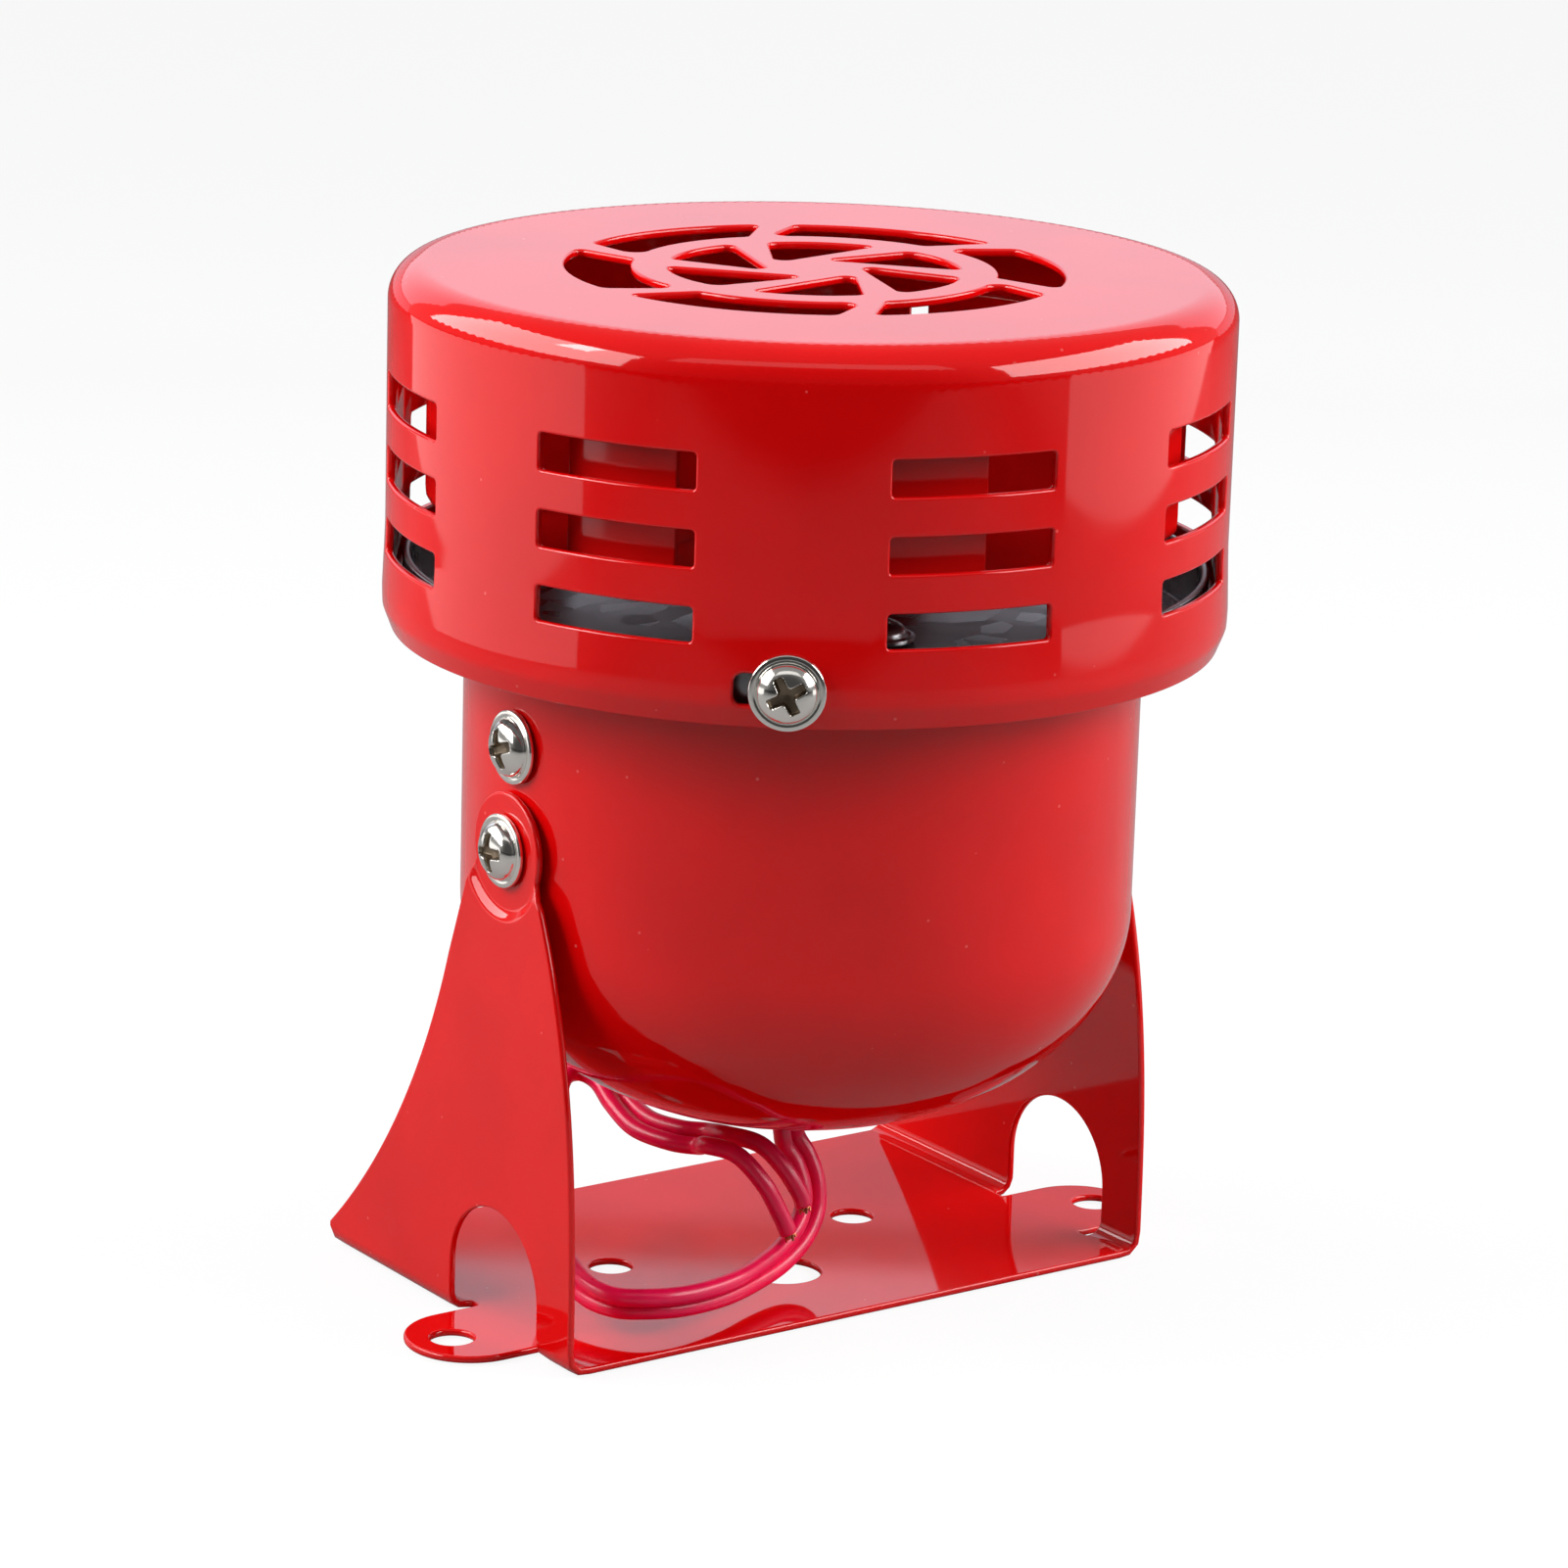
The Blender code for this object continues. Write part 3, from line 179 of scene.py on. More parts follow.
# --- motor -----------------------------------------------------------------
# turned pieces: node, name, look, corner radius, and (radius, height) outline; in millimetres
TURNED_PIECES = (
    ("motor_can", "can", "steel", 0.4, ((22.8, 39.0), (24.0, 39.0), (24.0, 78.8), (7.0, 78.8),
                                        (7.0, 83.6), (5.3, 83.6), (5.3, 77.6), (22.8, 77.6))),
    ("isolator_ring", "isolator", "rubber", 0.5, ((9.0, 79.1), (22.0, 79.1), (22.0, 82.3), (9.0, 82.3))),
    ("end_bell", "bell", "nylon", 0.25, ((5.3, 34.0), (7.5, 34.0), (7.5, 36.2), (24.0, 36.2),
                                         (24.0, 38.7), (22.5, 38.7), (22.5, 43.5), (21.0, 43.5),
                                         (21.0, 38.0), (5.3, 38.0))),
    ("bearing_lower", "bush_lower", "bronze", 0.2, ((2.8, 34.2), (5.0, 34.2), (5.0, 38.2), (2.8, 38.2))),
    ("bearing_upper", "bush_upper", "bronze", 0.2, ((2.8, 77.8), (5.0, 77.8), (5.0, 83.4), (2.8, 83.4))),
    ("rotor_washer", "washer", "zinc", 0.2, ((2.8, 98.5), (7.0, 98.5), (7.0, 99.4), (2.8, 99.4))),
)
DRILLED_PIECES = ("motor_can", "isolator_ring")         # the motor screws pass through these
# pieces kept as the CAD has them, but for their edges: node, look, edge width in millimetres
EASED_PIECES = (
    ("magnet_front", "ferrite", 0.4), ("magnet_back", "ferrite", 0.4),
    ("brush_left", "carbon", 0.15), ("brush_spring_left", "brass", 0.1), ("terminal_left", "brass", 0.15),
    ("brush_right", "carbon", 0.15), ("brush_spring_right", "brass", 0.1), ("terminal_right", "brass", 0.15),
    ("rotor_hub", "aluminium", 0.25), ("hub_set_screw", "steel", 0.2),
)
SHAFT_OUTLINE = ((0.0, 33.0), (2.1, 33.0), (2.5, 33.4), (2.5, 39.2), (2.3, 39.3), (2.3, 39.8), (2.5, 39.9),
                 (2.5, 104.6), (2.1, 105.0), (0.0, 105.0))
CORE_R = 18.6 * MM
CORE_BORE_R = 2.75 * MM
SLOT_MOUTH = 3.5                    # degrees from the middle of a core slot to its mouth's edge
# a core slot that opens along +X: x, y and corner radius, in millimetres
CORE_SLOT = ((15.8, -1.1, 0.2), (15.8, -2.3, 0.5), (8.7, -2.3, 0.9), (8.7, 2.3, 0.9),
             (15.8, 2.3, 0.5), (15.8, 1.1, 0.2))
LAMINATIONS = 25
LAMINATION_EDGE = 0.06 * MM
COIL_ENDS = ((49.6, 46.6), (70.4, 75.2))                # foot and tip height of each end coil, in mm
COIL_R = 10.8                       # middle of an end coil's section, in millimetres
COIL_HALF_WIDTH = 4.6
COIL_SEGMENTS = 320
SLOT_WIRE_R = 0.42 * MM
BAR_R = 6.0 * MM
BAR_GROOVE_R = 5.5 * MM
BAR_BORE_R = 2.8 * MM
BAR_EDGE = 0.15 * MM

# --- screws and nuts -------------------------------------------------------
SHANK_R = 1.5 * MM
THREAD_PITCH = 0.5 * MM
THREAD_DEPTH = 0.26 * MM
FLANGE_R = 4.4 * MM
FLANGE_H = 0.7 * MM
HEAD_R = 3.45 * MM
HEAD_H = 2.5 * MM
RECESS_ARM = 0.66 * MM              # half the width of the cross recess's arms
RECESS_TAPER = 0.06
RECESS_REACH = 2.25 * MM
RECESS_CORE = 1.02 * MM             # radius of the round middle
RECESS_DEPTH = 1.45 * MM
RECESS_FALL = 0.34                  # how fast the floor rises outwards
RECESS_WALL = 0.26 * MM
NUT_ACROSS = 5.5 * MM
NUT_H = 2.4 * MM
NUT_CLEARANCE = 0.06 * MM
NUT_CHAMFER = 0.3 * MM
LOCK_WASHER_H = 0.35 * MM           # from its middle to its face
LOCK_WASHER_SECTION = ((1.75, -0.28, 0.1), (3.15, -0.28, 0.1), (3.15, 0.28, 0.1), (1.75, 0.28, 0.1))

# --- leads -----------------------------------------------------------------
LEAD_R = 1.1 * MM
LEAD_SPACING = 2.6 * MM             # between the centres of the two leads
LEAD_LEAN = 49.0                    # degrees that the pair is turned about its own path
STRAND_R = 0.15 * MM
LOOP_AXIS = Vector((0.6, 0.8, -0.25))                   # what the loop of the pair winds round
# waypoints in millimetres: from the motor to the dome, round the loop, and each cut end
LEAD_HEAD = ((9.0, 1.4, 31.0), (4.0, 1.4, 28.6), (1.45, 0.6, 26.6), (1.4, 0.1, 22.5))
LEAD_LOOP = ((0.0, 0.0, 18.8), (0.6, 0.2, 17.0), (1.6, -0.8, 14.8), (2.0, -2.0, 12.0),
             (1.4, -3.0, 9.2), (-0.8, -4.4, 7.0), (-4.8, -6.4, 5.4), (-10.2, -9.0, 4.8),
             (-16.6, -11.8, 4.8), (-23.2, -13.0, 5.0), (-28.4, -12.0, 5.2), (-31.6, -9.0, 5.2),
             (-32.4, -3.6, 5.8), (-30.2, 5.2, 7.6), (-25.8, 13.4, 11.6), (-22.4, 18.8, 17.0),
             (-19.4, 22.8, 21.2), (-15.8, 23.8, 22.8), (-13.2, 21.2, 21.6), (-13.2, 17.2, 19.4),
             (-13.4, 12.0, 18.2), (-12.0, 6.8, 18.0), (-10.2, 3.6, 18.2))
OUTER_TAIL = ((-8.8, 0.4, 19.4), (-6.4, -3.0, 18.8), (-4.4, -5.2, 16.2), (-2.8, -6.6, 13.0),
              (-2.4, -7.0, 11.4))
INNER_TAIL = ((-12.6, -0.6, 19.0), (-10.4, -4.0, 18.4), (-8.0, -6.4, 15.0), (-6.4, -7.6, 11.4),
              (-5.4, -8.2, 8.8))

LEAD_END_EASE = 0.06 * MM
LEAD_END_FLAT = 0.16 * MM           # how much smaller the cut face is than the lead
STRAND_RINGS = ((6, 0.31, 0.0), (12, 0.6, 15.0))        # strands, radius in millimetres, turn
GROMMET_OUTLINE = ((3.3, -1.5), (5.6, -1.5), (5.9, -0.9), (5.6, -0.35), (4.0, -0.35), (4.0, 1.3),
                   (5.6, 1.3), (5.9, 1.8), (5.6, 2.4), (3.3, 2.4))

AROUND = 192                        # segments of the large round pieces
SMALL_AROUND = 96                   # segments of the small ones


# --- outlines --------------------------------------------------------------
def polar(radius, degrees, z=0.0):
    """Return a point at a radius and an angle about Z."""
    angle = math.radians(degrees)
    return Vector((radius * math.cos(angle), radius * math.sin(angle), z))


def angles_round(count):
    """Return so many evenly spaced angles round a full turn, in radians."""
    return np.arange(count) * 2.0 * math.pi / count


def spokes(reach, angle):
    """Return 2D points at distances and angles about the middle."""
    return np.stack([reach * np.cos(angle), reach * np.sin(angle)], 1)


def circle(centre, radius, count):
    """Return points on a 2D circle."""
    return spokes(radius, angles_round(count)) + centre


def arc(centre, radius, first, last, count):
    """Return points on a 2D arc between two angles."""
    return spokes(radius, np.radians(np.linspace(first, last, count))) + centre


def bowed(radius, first, last, count, first_corner=0.0, last_corner=0.0):
    """Return outline corners on an arc about the middle; its two ends may be rounded."""
    corners = [(*p, 0.0) for p in arc((0.0, 0.0), radius, first, last, count)]
    corners[0] = (*corners[0][:2], first_corner)
    corners[-1] = (*corners[-1][:2], last_corner)
    return corners


def rounded(corners, closed=True, step=9.0):
    """Round the corners of an outline; each corner is (x, y, radius)."""
    outline = []
    for i, (x, y, radius) in enumerate(corners):
        here = Vector((x, y))
        if radius <= 0.0 or (not closed and i in (0, len(corners) - 1)):
            outline.append(tuple(here))
            continue
        back = (Vector(corners[i - 1][:2]) - here).normalized()
        ahead = (Vector(corners[(i + 1) % len(corners)][:2]) - here).normalized()
        half = back.angle(ahead) / 2.0
        centre = here + (back + ahead).normalized() * (radius / math.sin(half))
        reach = radius / math.tan(half)
        start = here + back * reach - centre
        end = here + ahead * reach - centre
        turn = start.angle_signed(end)
        steps = max(2, round(abs(math.degrees(turn)) / step))
        for k in range(steps + 1):
            outline.append(tuple(centre + Matrix.Rotation(-turn * k / steps, 2) @ start))
    return outline


def divided(outline, longest, closed=True):
    """Return an outline as an array whose sides are no longer than a given length."""
    points = [np.array(p, float) for p in outline]
    ends = points[1:] + points[:1] if closed else points[1:]
    result = []
    for a, b in zip(points, ends):
        count = max(1, math.ceil(np.linalg.norm(b - a) / longest))
        result += [a + (b - a) * i / count for i in range(count)]
    if not closed:
        result.append(points[-1])
    return np.array(result)


def smooth_step(value):
    """Ease a value from 0 to 1."""
    value = np.clip(value, 0.0, 1.0)
    return value * value * (3.0 - 2.0 * value)


def turned_left(loop, left):
    """Return a loop that runs anticlockwise (left) or clockwise."""
    x, y = loop.T
    area = np.sum(x * np.roll(y, -1) - np.roll(x, -1) * y)
    return loop if (area > 0.0) == left else loop[::-1]


def inside(points, loop):
    """Tell which 2D points are inside a closed loop."""
    x, y = points[:, 0:1], points[:, 1:2]
    x1, y1 = loop.T
    x2, y2 = np.roll(loop, -1, 0).T
    rise = np.where(y2 == y1, 1.0, y2 - y1)
    hits = ((y1 > y) != (y2 > y)) & (x < x1 + (y - y1) * (x2 - x1) / rise)
    return hits.sum(1) % 2 == 1


def spline(points, per_span):
    """Return a smooth curve through the points (Catmull-Rom)."""
    path = [Vector(p) for p in points]
    padded = [2 * path[0] - path[1]] + path + [2 * path[-1] - path[-2]]
    curve = []
    for a, b, c, d in zip(padded, padded[1:], padded[2:], padded[3:]):
        for k in range(per_span):
            t = k / per_span
            curve.append(0.5 * (2 * b + (c - a) * t + (2 * a - 5 * b + 4 * c - d) * t * t
                                + (3 * b - a - 3 * c + d) * t ** 3))
    curve.append(path[-1])
    return curve


# --- meshes ----------------------------------------------------------------
class Mesh:
    """Corners, faces and wanted normals, gathered before they become an object."""

    def __init__(self):
        self.verts = []
        self.normals = []
        self.faces = []

    def add(self, points, normals=None):
        """Add corners and return the index of the first."""
        first = len(self.verts)
        self.verts += [tuple(p) for p in points]
        wanted = np.zeros((len(points), 3)) if normals is None else normals
        self.normals += [tuple(n) for n in wanted]
        return first

    def bridge(self, first, second, count, closed=True):
        """Join two rows of corners with quads."""
        for i in range(count if closed else count - 1):
            j = (i + 1) % count
            self.faces.append((first + i, first + j, second + j, second + i))


def make(name, mesh, smooth=180.0, matrix=None, weld=0.0):
    """Turn a Mesh into a shaded object."""
    data = bpy.data.meshes.new(name)
    data.from_pydata(mesh.verts, [], mesh.faces)
    bm = bmesh.new()
    bm.from_mesh(data)
    if weld:
        bmesh.ops.remove_doubles(bm, verts=bm.verts, dist=weld)
    bmesh.ops.recalc_face_normals(bm, faces=bm.faces)
    bm.to_mesh(data)
    bm.free()
    data.shade_smooth()
    if smooth < 180.0:
        data.set_sharp_from_angle(angle=math.radians(smooth))
    if any(any(n) for n in mesh.normals) and not weld:
        data.normals_split_custom_set_from_vertices(mesh.normals)
    obj = bpy.data.objects.new(name, data)
    bpy.context.scene.collection.objects.link(obj)
    if matrix is not None:
        obj.matrix_world = matrix
    return obj


def fit(obj, node, material):
    """Give an object its material and let it stand for a CAD node, moving with the node's body."""
    obj.data.materials.clear()
    obj.data.materials.append(material)
    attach(obj, BODY_OF[node])
    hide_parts(node)


def rows_mesh(mesh, rows, closed=False):
    """Add a surface through rings of corners; with closed, the last ring joins the first."""
    starts = [mesh.add(row) for row in rows]
    count = len(rows[0])
    for first, second in zip(starts, starts[1:]):
        mesh.bridge(first, second, count)
    if closed:
        mesh.bridge(starts[-1], starts[0], count)


def pipe_mesh(mesh, rows):
    """Add a surface through rings of corners, with a face over each end."""
    first = len(mesh.verts)
    count = len(rows[0])
    rows_mesh(mesh, rows)
    for start in (first, len(mesh.verts) - count):
        mesh.faces.append(tuple(range(start, start + count)))


def turned(name, corners, segments=SMALL_AROUND, smooth=40.0, bevel=0.15 * MM):
    """Turn a closed (radius, z) outline about the shaft axis, with every corner eased."""
    outline = rounded([(r, z, bevel) for r, z in corners], step=30.0)
    mesh = Mesh()
    rows_mesh(mesh, [circle_row(r, z, segments) for r, z in outline], closed=True)
    return make(name, mesh, smooth)


def circle_row(radius, z, segments):
    """Return a ring of corners at a radius and a height; the radius may vary round the ring."""
    angles = angles_round(segments)
    return np.stack([radius * np.cos(angles), radius * np.sin(angles), z + 0.0 * angles], 1)


def cut(obj, cutters):
    """Cut bodies gathered in a Mesh out of an object."""
    tool = make("cutter", cutters)
    modifier = obj.modifiers.new("cut", "BOOLEAN")
    modifier.operation = "DIFFERENCE"
    modifier.solver = "EXACT"
    modifier.object = tool
    graph = bpy.context.evaluated_depsgraph_get()
    result = bpy.data.meshes.new_from_object(obj.evaluated_get(graph))
    obj.modifiers.clear()
    bpy.data.objects.remove(tool)
    obj.data = result
    result.shade_smooth()
    result.set_sharp_from_angle(angle=math.radians(40.0))


def drill(mesh, matrix, depth=DRILL_DEPTH):
    """Add a cutter for a screw hole that runs a depth along local Z."""
    rows = [circle_row(HOLE_R, z, DRILL_SIDES) for z in (0.0, depth)]
    pipe_mesh(mesh, [[matrix @ Vector(p) for p in row] for row in rows])


def facing(direction, origin, spin=0.0):
    """Return the matrix that turns local +Z to a direction, spun about it, at an origin."""
    turn = Vector(direction).to_track_quat("Z", "Y").to_matrix().to_4x4()
    return Matrix.Translation(origin) @ turn @ Matrix.Rotation(math.radians(spin), 4, "Z")


# --- pressed sheet ---------------------------------------------------------
def edge_levels(thickness, radius):
    """Return (inset, depth) pairs round the cut edge of a sheet, from its outer to its inner face."""
    levels = [(radius + SUPPORT, 0.0)]
    for angle in (0.0, 30.0, 60.0, 90.0):
        turn = math.radians(angle)
        levels.append((radius * (1.0 - math.sin(turn)), radius * (1.0 - math.cos(turn))))
    return levels + [(inset, thickness - depth) for inset, depth in reversed(levels)]


def inward(loop, stretch):
    """Return for each corner of a loop the pattern step that goes one unit into the sheet."""
    reach = np.linalg.norm(loop, axis=1)[:, None]
    out = loop / np.where(reach == 0.0, 1.0, reach)
    along = np.stack([-out[:, 1], out[:, 0]], 1)
    scale = stretch(loop)

    def left_of(sides):
        local = np.stack([(sides * out).sum(1), (sides * along).sum(1) * scale], 1)
        local /= np.linalg.norm(local, axis=1)[:, None]
        return np.stack([-local[:, 1], local[:, 0]], 1)

    ahead = left_of(np.roll(loop, -1, 0) - loop)
    behind = left_of(loop - np.roll(loop, 1, 0))
    mitre = (ahead + behind) / (1.0 + (ahead * behind).sum(1))[:, None]
    return out * mitre[:, 0:1] + along * (mitre[:, 1] / scale)[:, None]


def unit_stretch(pattern):
    """Return the stretch of a flat pattern that is true to length everywhere."""
    return np.ones(len(pattern))


def surface_normals(place, pattern, depth):
    """Return the outward normals of a placed pattern at a depth."""
    small = 0.02 * MM
    du = place(pattern + (small, 0.0), depth) - place(pattern - (small, 0.0), depth)
    dv = place(pattern + (0.0, small), depth) - place(pattern - (0.0, small), depth)
    normals = np.cross(du, dv)
    normals /= np.linalg.norm(normals, axis=1)[:, None]
    outward = place(pattern, 0.0) - place(pattern, small)
    return normals * np.sign((normals * outward).sum(1))[:, None]


def on_sheet(points, loops):
    """Tell which points are inside the first loop and outside all the others."""
    keep = inside(points, loops[0])
    for hole in loops[1:]:
        keep &= ~inside(points, hole)
    return keep


def fill(loops, points, lines):
    """Triangulate the pattern between loops; return points, triangles and the input point of each."""
    margin = 0.45 * MM
    rims = np.concatenate(loops)
    points = points[on_sheet(points, loops)]
    near = np.array([np.min(np.hypot(*(rims - p).T)) for p in points])
    points = points[near > margin] if len(points) else points
    coords = [Vector(p) for p in rims]
    edges = []
    first = 0
    for loop in loops:
        edges += [(first + i, first + (i + 1) % len(loop)) for i in range(len(loop))]
        first += len(loop)
    coords += [Vector(p) for p in points]
    for line in lines:
        first = len(coords)
        coords += [Vector(p) for p in line]
        edges += [(first + i, first + i + 1) for i in range(len(line) - 1)]
    verts, _, faces, origin = delaunay_2d_cdt(coords, edges, [], 0, 1e-9)[:4]
    verts = np.array(verts)
    faces = np.array(faces)
    sources = [min(o) if o and min(o) < len(rims) else -1 for o in origin]
    return verts, faces[on_sheet(verts[faces].mean(1), loops)], sources


def add_sheet(mesh, place, thickness, outer, holes=(), points=None, lines=(), stretch=unit_stretch,
              levels=None):
    """Add a closed sheet with eased edges: a flat pattern mapped to space by place(points, depth)."""
    loops = [turned_left(np.asarray(outer), True)]
    loops += [turned_left(np.asarray(hole), False) for hole in holes]
    levels = levels or edge_levels(thickness, EDGE_R)
    tops = []
    bottoms = []
    rims = []
    for loop in loops:
        step = inward(loop, stretch)
        rows = []
        for inset, depth in levels:
            pattern = loop + step * inset
            flat = depth in (0.0, thickness)
            normals = surface_normals(place, pattern, depth) if flat else None
            if flat and depth > 0.0:
                normals = -normals
            rows.append(mesh.add(place(pattern, depth), normals))
        for first, second in zip(rows, rows[1:]):
            mesh.bridge(first, second, len(loop))
        rims.append(loop + step * levels[0][0])
        tops += range(rows[0], rows[0] + len(loop))
        bottoms += range(rows[-1], rows[-1] + len(loop))
    points = np.zeros((0, 2)) if points is None else points
    verts, triangles, sources = fill(rims, points, lines)
    used = sorted(set(triangles.ravel()))
    fresh = [i for i in used if sources[i] < 0]
    pattern = verts[fresh].reshape(-1, 2)
    for depth, rim, sign in ((0.0, tops, 1.0), (thickness, bottoms, -1.0)):
        index = {i: rim[sources[i]] for i in used if sources[i] >= 0}
        if fresh:
            first = mesh.add(place(pattern, depth), sign * surface_normals(place, pattern, depth))
            index.update({i: first + k for k, i in enumerate(fresh)})
        for triangle in triangles:
            mesh.faces.append(tuple(index[i] for i in triangle))


class Profile:
    """A sheet spun about Z: a pattern point lies its distance from the centre along the profile."""

    def __init__(self, corners, side):
        line = divided(rounded(corners, closed=False, step=4.0), 0.5 * MM, closed=False)
        self.length = np.concatenate([[0.0], np.cumsum(np.hypot(*np.diff(line, axis=0).T))])
        slope = np.stack([np.gradient(line[:, k], self.length) for k in (0, 1)], 1)
        slope /= np.linalg.norm(slope, axis=1)[:, None]
        self.line = line
        self.normals = side * np.stack([-slope[:, 1], slope[:, 0]], 1)

    def place(self, pattern, depth):
        """Map pattern points to space, a depth in from the outer face."""
        reach = np.linalg.norm(pattern, axis=1)
        angle = np.arctan2(pattern[:, 1], pattern[:, 0])
        r, z, nr, nz = (np.interp(reach, self.length, column)
                        for column in (*self.line.T, *self.normals.T))
        r = r - depth * nr
        return np.stack([r * np.cos(angle), r * np.sin(angle), z - depth * nz], 1)

    def stretch(self, pattern):
        """Return the true length over the pattern length, around the axis."""
        reach = np.maximum(np.linalg.norm(pattern, axis=1), 1e-6)
        return np.maximum(np.interp(reach, self.length, self.line[:, 0]) / reach, 1e-3)

    def along(self, z):
        """Return the distance along the profile where its wall has a height."""
        heights = self.line[:, 1]
        wall = self.line[:, 0] > 0.9 * self.line[:, 0].max()
        order = np.argsort(heights[wall])
        return np.interp(z, heights[wall][order], self.length[wall][order])

    def window(self, radius, first, last, low, high, corner):
        """Return the pattern loop of a window in the wall, from its angles and heights."""
        a = math.radians(first) * radius
        b = math.radians(last) * radius
        box = [(a, low, corner), (b, low, corner), (b, high, corner), (a, high, corner)]
        outline = divided(rounded(box, step=18.0), OPENING_STEP)
        return spokes(self.along(outline[:, 1]), outline[:, 0] / radius)

    def hole(self, radius, degrees, z, size, count=24):
        """Return the pattern loop of a round hole in the wall."""
        outline = circle((math.radians(degrees) * radius, z), size, count)
        return spokes(self.along(outline[:, 1]), outline[:, 0] / radius)

    def rings(self, spacing, fine, fine_spacing, start=2.0 * MM):
        """Return pattern points in rings; between the fine limits they stand closer together."""
        reach = start
        points = []
        row = 0
        while reach < self.length[-1]:
            count = AROUND if reach > 20.0 * MM else AROUND // 4
            points.append(spokes(reach, angles_round(count) + math.pi / count * (row % 2)))
            reach += fine_spacing if fine[0] < reach < fine[1] else spacing
            row += 1
        return np.concatenate(points)


# --- cap -------------------------------------------------------------------
def grille_openings():
    """Return the twelve swirled openings of the intake grille."""
    ring = [corner for side in RING_SIDES for corner in bowed(*side)]
    web = bowed(*WEB_SIDE) + [WEB_TIP]
    loops = []
    for shape in (ring, web):
        outline = divided(rounded(open_corners(shape), step=12.0), OPENING_STEP)
        for i in range(BLADES):
            turn = np.array(Matrix.Rotation(math.radians(i * 360.0 / BLADES), 2))
            loops.append(outline @ turn.T)
    return loops


def open_corners(shape):
    """Drop the arc points that lie within reach of a rounded corner."""
    curved = [corner for corner in shape if corner[2] > 0.0]
    kept = []
    for x, y, radius in shape:
        crowded = any(math.hypot(x - a, y - b) < 1.9 * r for a, b, r in curved)
        if radius > 0.0 or not crowded:
            kept.append((x, y, radius))
    return kept


def cap_slots(profile):
    """Return the slots of the cap wall: three rows of eight, and one under each screw."""
    loops = []
    screw_gap = 90.0 - 1.5 * SLOT_PITCH
    for side in (0.0, 180.0):
        base = CAP_SCREW_ANGLE + side
        for column in range(4):
            start = base + screw_gap + column * SLOT_PITCH - SLOT_ANGLE / 2.0
            for low, high in SLOT_ROWS:
                loops.append(profile.window(CAP_R, start, start + SLOT_ANGLE, low, high, SLOT_CORNER))
        first, last = ADJUST_SLOT
        loops.append(profile.window(CAP_R, base + first, base + last, CAP_SCREW.z - ADJUST_HALF,
                                    CAP_SCREW.z + ADJUST_HALF, ADJUST_CORNER))
    return loops


def build_cap(paint):
    """Build the deep-drawn cap: swirl grille, slotted wall, and a lip that turns in a little."""
    lip = [(CAP_R + swell * MM, CAP_BOTTOM + z * MM, radius * MM) for swell, z, radius in CAP_LIP]
    profile = Profile([(0.0, CAP_TOP, 0.0), (CAP_R, CAP_TOP, CAP_CORNER)] + lip, 1.0)
    outer = circle((0.0, 0.0), profile.length[-1], AROUND)
    flat = CAP_R - CAP_CORNER
    points = profile.rings(2.4 * MM, (flat - MM, flat + CAP_CORNER * 2.2), 0.5 * MM)
    low_wall = profile.along(CAP_BOTTOM + 6.0 * MM)
    lip_rings = [circle((0.0, 0.0), low_wall + i * 0.55 * MM, AROUND) for i in range(11)]
    mesh = Mesh()
    add_sheet(mesh, profile.place, CAP_SHEET, outer, grille_openings() + cap_slots(profile),
              np.concatenate([points, *lip_rings]), stretch=profile.stretch)
    fit(make("cap_shell", mesh), "slotted_cap", paint)


# --- housing and pan -------------------------------------------------------
def build_housing(paint):
    """Build the drawn motor housing with its domed bottom and its screw and cable holes."""
    across = HOUSING_R - DOME_FLAT_R
    dome = [(0.0, HOUSING_BOTTOM, 0.0)]
    for t in np.radians(np.linspace(0.0, 90.0, 61)):
        dome.append((DOME_FLAT_R + across * math.sin(t), HOUSING_BOTTOM + DOME_H * (1.0 - math.cos(t)), 0.0))
    profile = Profile(dome + [(HOUSING_R, HOUSING_TOP, 0.0)], -1.0)
    holes = [circle((0.0, 0.0), GROMMET_HOLE_R, 48)]
    for z in (PIVOT_Z, HOUSING_SCREW_Z):
        holes += [profile.hole(HOUSING_R, angle, z, HOLE_R) for angle in (0.0, 180.0)]
    wall = profile.along(HOUSING_BOTTOM + DOME_H + 2.0 * MM)
    points = profile.rings(2.5 * MM, (3.0 * MM, wall), 1.0 * MM, 5.6 * MM)
    mesh = Mesh()
    outer = circle((0.0, 0.0), profile.length[-1], AROUND)
    add_sheet(mesh, profile.place, HOUSING_SHEET, outer, holes, points, stretch=profile.stretch)
    fit(make("housing_cup", mesh), "motor_housing", paint)


